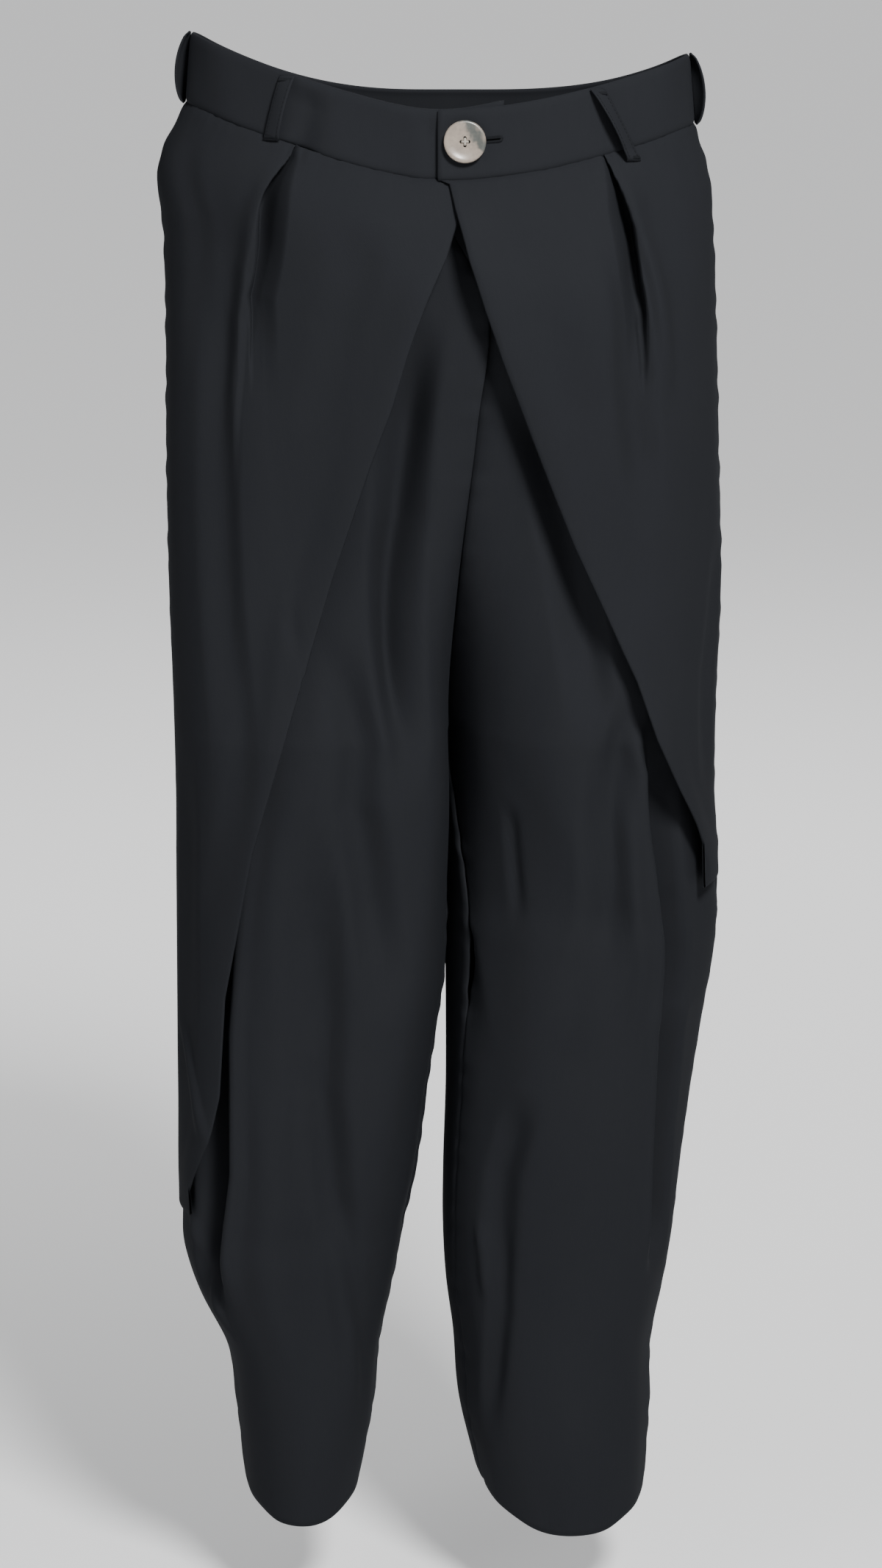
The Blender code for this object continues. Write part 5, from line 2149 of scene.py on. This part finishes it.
    def make(self) -> None:
        """Builds the button, its threads and the stitches of its buttonhole."""
        body = self.turned()
        centre = tuple(self.place() @ Vector((0.0, 0.0, self.stand_off)))
        Horn("banded_horn", centre=centre, radius=self.radius).dress(body)
        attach(body, BODY)
        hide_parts("button")
        paths = self.threads() + self.shank()
        strands = MeshParts.tubes("button_thread_strands", paths, self.thread_radius, self.thread_sides)
        PALE_THREAD.dress(strands)
        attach(strands, BODY)
        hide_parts("button_shank")
        LOG.info("button: %d faces, threads: %d faces", len(body.data.polygons), len(strands.data.polygons))
        hole = StitchWork("buttonhole_stitches", spacing=0.00048, length=0.0021, radius=0.00026)
        hole.sew(self.hole_runs())


def cut_away(piece: bpy.types.Object, tools: Sequence[bpy.types.Object]) -> bpy.types.Object:
    """Takes closed bodies away from a piece and leaves a plain mesh.

    Args:
        piece: The piece to cut.
        tools: The bodies, which are removed afterwards.

    Returns:
        The piece.
    """
    for tool in tools:
        trim = piece.modifiers.new("cut", "BOOLEAN")
        trim.operation = "DIFFERENCE"
        trim.solver = "EXACT"
        trim.object = tool
    bpy.context.view_layer.update()
    left = bpy.data.meshes.new_from_object(piece.evaluated_get(bpy.context.evaluated_depsgraph_get()))
    piece.modifiers.clear()
    piece.data = left
    for tool in tools:
        bpy.data.objects.remove(tool, do_unlink=True)
    left.set_sharp_from_angle(angle=SHARP_ANGLE)
    return piece


@dataclass
class OverlapBand(FrontBand):
    """The front band that laps over, with the buttonhole cut in it."""

    button: Button | None = None

    def worked(self, piece: bpy.types.Object) -> bpy.types.Object:
        """Cuts the buttonhole."""
        return cut_away(piece, self.button.slit_tools())


@dataclass
class Trousers:
    """The whole garment."""

    button: Button

    def panels(self) -> list[ClothPiece]:
        """The cut pieces of the legs, with the sizes that they were cut to.

        Returns:
            The panels.
        """
        return [
            LegFront("leg_front_right", flat=(0.300, 0.985), flat_area=0.248, leg=RIGHT),
            LegFront("leg_front_left", flat=(0.270, 0.985), flat_area=0.220, leg=LEFT),
            LegBack("leg_back_right", flat=(0.310, 0.985), flat_area=0.254, leg=RIGHT),
            LegBack("leg_back_left", flat=(0.310, 0.985), flat_area=0.257, leg=LEFT),
            Wrap("wrap_front_right", flat=(0.290, 0.760), flat_area=0.115, leg=RIGHT),
            Wrap("wrap_front_left", flat=(0.280, 0.530), flat_area=0.078, leg=LEFT),
        ]

    def bands(self) -> list[ClothPiece]:
        """The three lengths of the waistband.

        Returns:
            The bands.
        """
        under = (
            Valley(-0.0835, -0.0905, 0.0105, 0.0040),
            Valley(-0.0300, -0.0260, 0.0120, 0.0006),
            Valley(-0.0048, -0.0034, 0.0065, 0.0020),
        )
        over = (Valley(0.0520, 0.0460, 0.0120, 0.0007),)
        right = {"flat": (0.245, BAND_HEIGHT), "flat_area": 0.0105, "leg": RIGHT, "end_x": 0.0400}
        left = {"flat": (0.205, BAND_HEIGHT), "flat_area": 0.0088, "leg": LEFT, "end_x": -0.0010}
        return [
            FrontBand("waistband_front_right", valleys=under, **right),
            OverlapBand("waistband_front_left", valleys=over, button=self.button, **left),
            BackBand("waistband_back", flat=(0.400, BAND_HEIGHT), flat_area=0.0172),
        ]

    def loops(self) -> list[BeltLoop]:
        """The belt loops: two on the front, two at the side seams and one at the centre back.

        Returns:
            The loops.
        """
        usual = {"flat": (0.010, 0.050), "flat_area": 0.00050}
        side = {"width": 0.0086, "stand_off": 0.0035, "twist": -0.0035, **usual}
        front_right = {
            "top_girth": RIGHT.girth_at_x(-0.0990, 0.0),
            "bottom_girth": RIGHT.girth_at_x(-0.1080, 0.0),
            "stand_off": 0.0034,
            "above": -0.0014,
            "twist": -0.0016,
            **usual,
        }
        front_left = {
            "flat": (0.010, 0.060),
            "flat_area": 0.00060,
            "top_girth": LEFT.girth_at_x(0.1010, 0.0),
            "bottom_girth": LEFT.girth_at_x(0.1220, 0.0),
            "below_band": 0.008,
            "width": 0.0092,
            "stand_off": 0.0048,
            "above": -0.0010,
            "twist": -0.0030,
        }
        back = {"top_girth": 1.0, "bottom_girth": 1.0, "above": -0.0008, **usual}
        return [
            BeltLoop("belt_loop_front_right", leg=RIGHT, **front_right),
            BeltLoop("belt_loop_front_left", leg=LEFT, **front_left),
            BeltLoop("belt_loop_side_right", leg=RIGHT, **side),
            BeltLoop("belt_loop_side_left", leg=LEFT, **side),
            BeltLoop("belt_loop_centre_back", leg=LEFT, **back),
        ]

    def make(self) -> None:
        """Builds every piece in the order that a maker sews them."""
        loops = self.loops()
        for piece in (*self.panels(), *self.bands(), *loops):
            piece.make()
        sewing = [LoopStitches(loop) for loop in loops]
        bars = [run for each in sewing for run in each.bars()]
        edges = [run for each in sewing for run in each.edges()]
        StitchWork("bar_tacks", spacing=0.00042, length=0.0024, radius=0.00024).sew(bars)
        StitchWork("loop_edge_stitches", spacing=0.0026, length=0.0019, radius=0.00018).sew(edges)
        self.button.make()


@dataclass(frozen=True)
class SoftLight:
    """A large area light that looks at the trousers."""

    name: str
    place: Triple
    size: float
    power: float
    colour: Triple = (1.0, 1.0, 1.0)

    def hang(self, target: Vector) -> None:
        """Adds the light.

        Args:
            target: Where it points.
        """
        lamp = bpy.data.lights.new(self.name, "AREA")
        lamp.shape = "DISK"
        lamp.size = self.size
        lamp.energy = self.power
        lamp.color = self.colour
        held = in_scene(self.name, lamp)
        held.location = self.place
        held.rotation_euler = (target - Vector(self.place)).to_track_quat("-Z", "Y").to_euler()


@dataclass(frozen=True)
class Studio:
    """The camera, the pale floor and the soft light."""

    camera_distance: float = 2.60
    camera_height: float = 0.16
    camera_pitch: float = 13.15
    lens: float = 90.0
    sensor_height: float = 36.0
    floor_level: float = -1.03
    floor_radius: float = 60.0
    floor_sides: int = 64
    sky: Triple = (0.93, 0.95, 1.0)
    sky_strength: float = 0.13
    middle: Triple = (0.0, 0.0, -0.45)
    lights: tuple[SoftLight, ...] = (
        SoftLight("key_light", (0.85, -2.00, 1.65), 0.7, 140.0),
        SoftLight("fill_light", (-1.9, -1.5, 0.4), 1.2, 13.0),
        SoftLight("back_light", (0.4, 2.6, 1.8), 1.8, 40.0),
    )

    def camera(self) -> None:
        """Sets the camera at the photograph's height, angle and distance."""
        eye = bpy.data.cameras.new("camera")
        eye.lens = self.lens
        eye.sensor_fit = "VERTICAL"
        eye.sensor_height = self.sensor_height
        held = in_scene("camera", eye)
        held.location = (0.0, -self.camera_distance, self.camera_height)
        held.rotation_euler = (math.radians(90.0 - self.camera_pitch), 0.0, 0.0)
        bpy.context.scene.camera = held

    def floor(self) -> None:
        """Lays the floor under the trousers."""
        radius = self.floor_radius
        angle = np.arange(self.floor_sides) * 2 * math.pi / self.floor_sides
        points = [(radius * math.cos(a), radius * math.sin(a), self.floor_level) for a in angle]
        mesh = bpy.data.meshes.new("floor")
        mesh.from_pydata(points, [], [tuple(range(self.floor_sides))])
        laid = in_scene("floor", mesh)
        PaleFloor("pale_floor").dress(laid)

    def set_up(self) -> None:
        """Adds the camera, the floor and the lights."""
        self.camera()
        self.floor()
        world = bpy.data.worlds.new("studio")
        world.use_nodes = True
        sky = world.node_tree.nodes["Background"]
        sky.inputs[0].default_value = (*self.sky, 1.0)
        sky.inputs[1].default_value = self.sky_strength
        bpy.context.scene.world = world
        for light in self.lights:
            light.hang(Vector(self.middle))


def main() -> None:
    """Sets up the studio and builds the trousers."""
    logging.basicConfig(level=logging.INFO, format="%(message)s")
    Studio().set_up()
    Trousers(button=Button()).make()


if __name__ == "__main__":
    main()
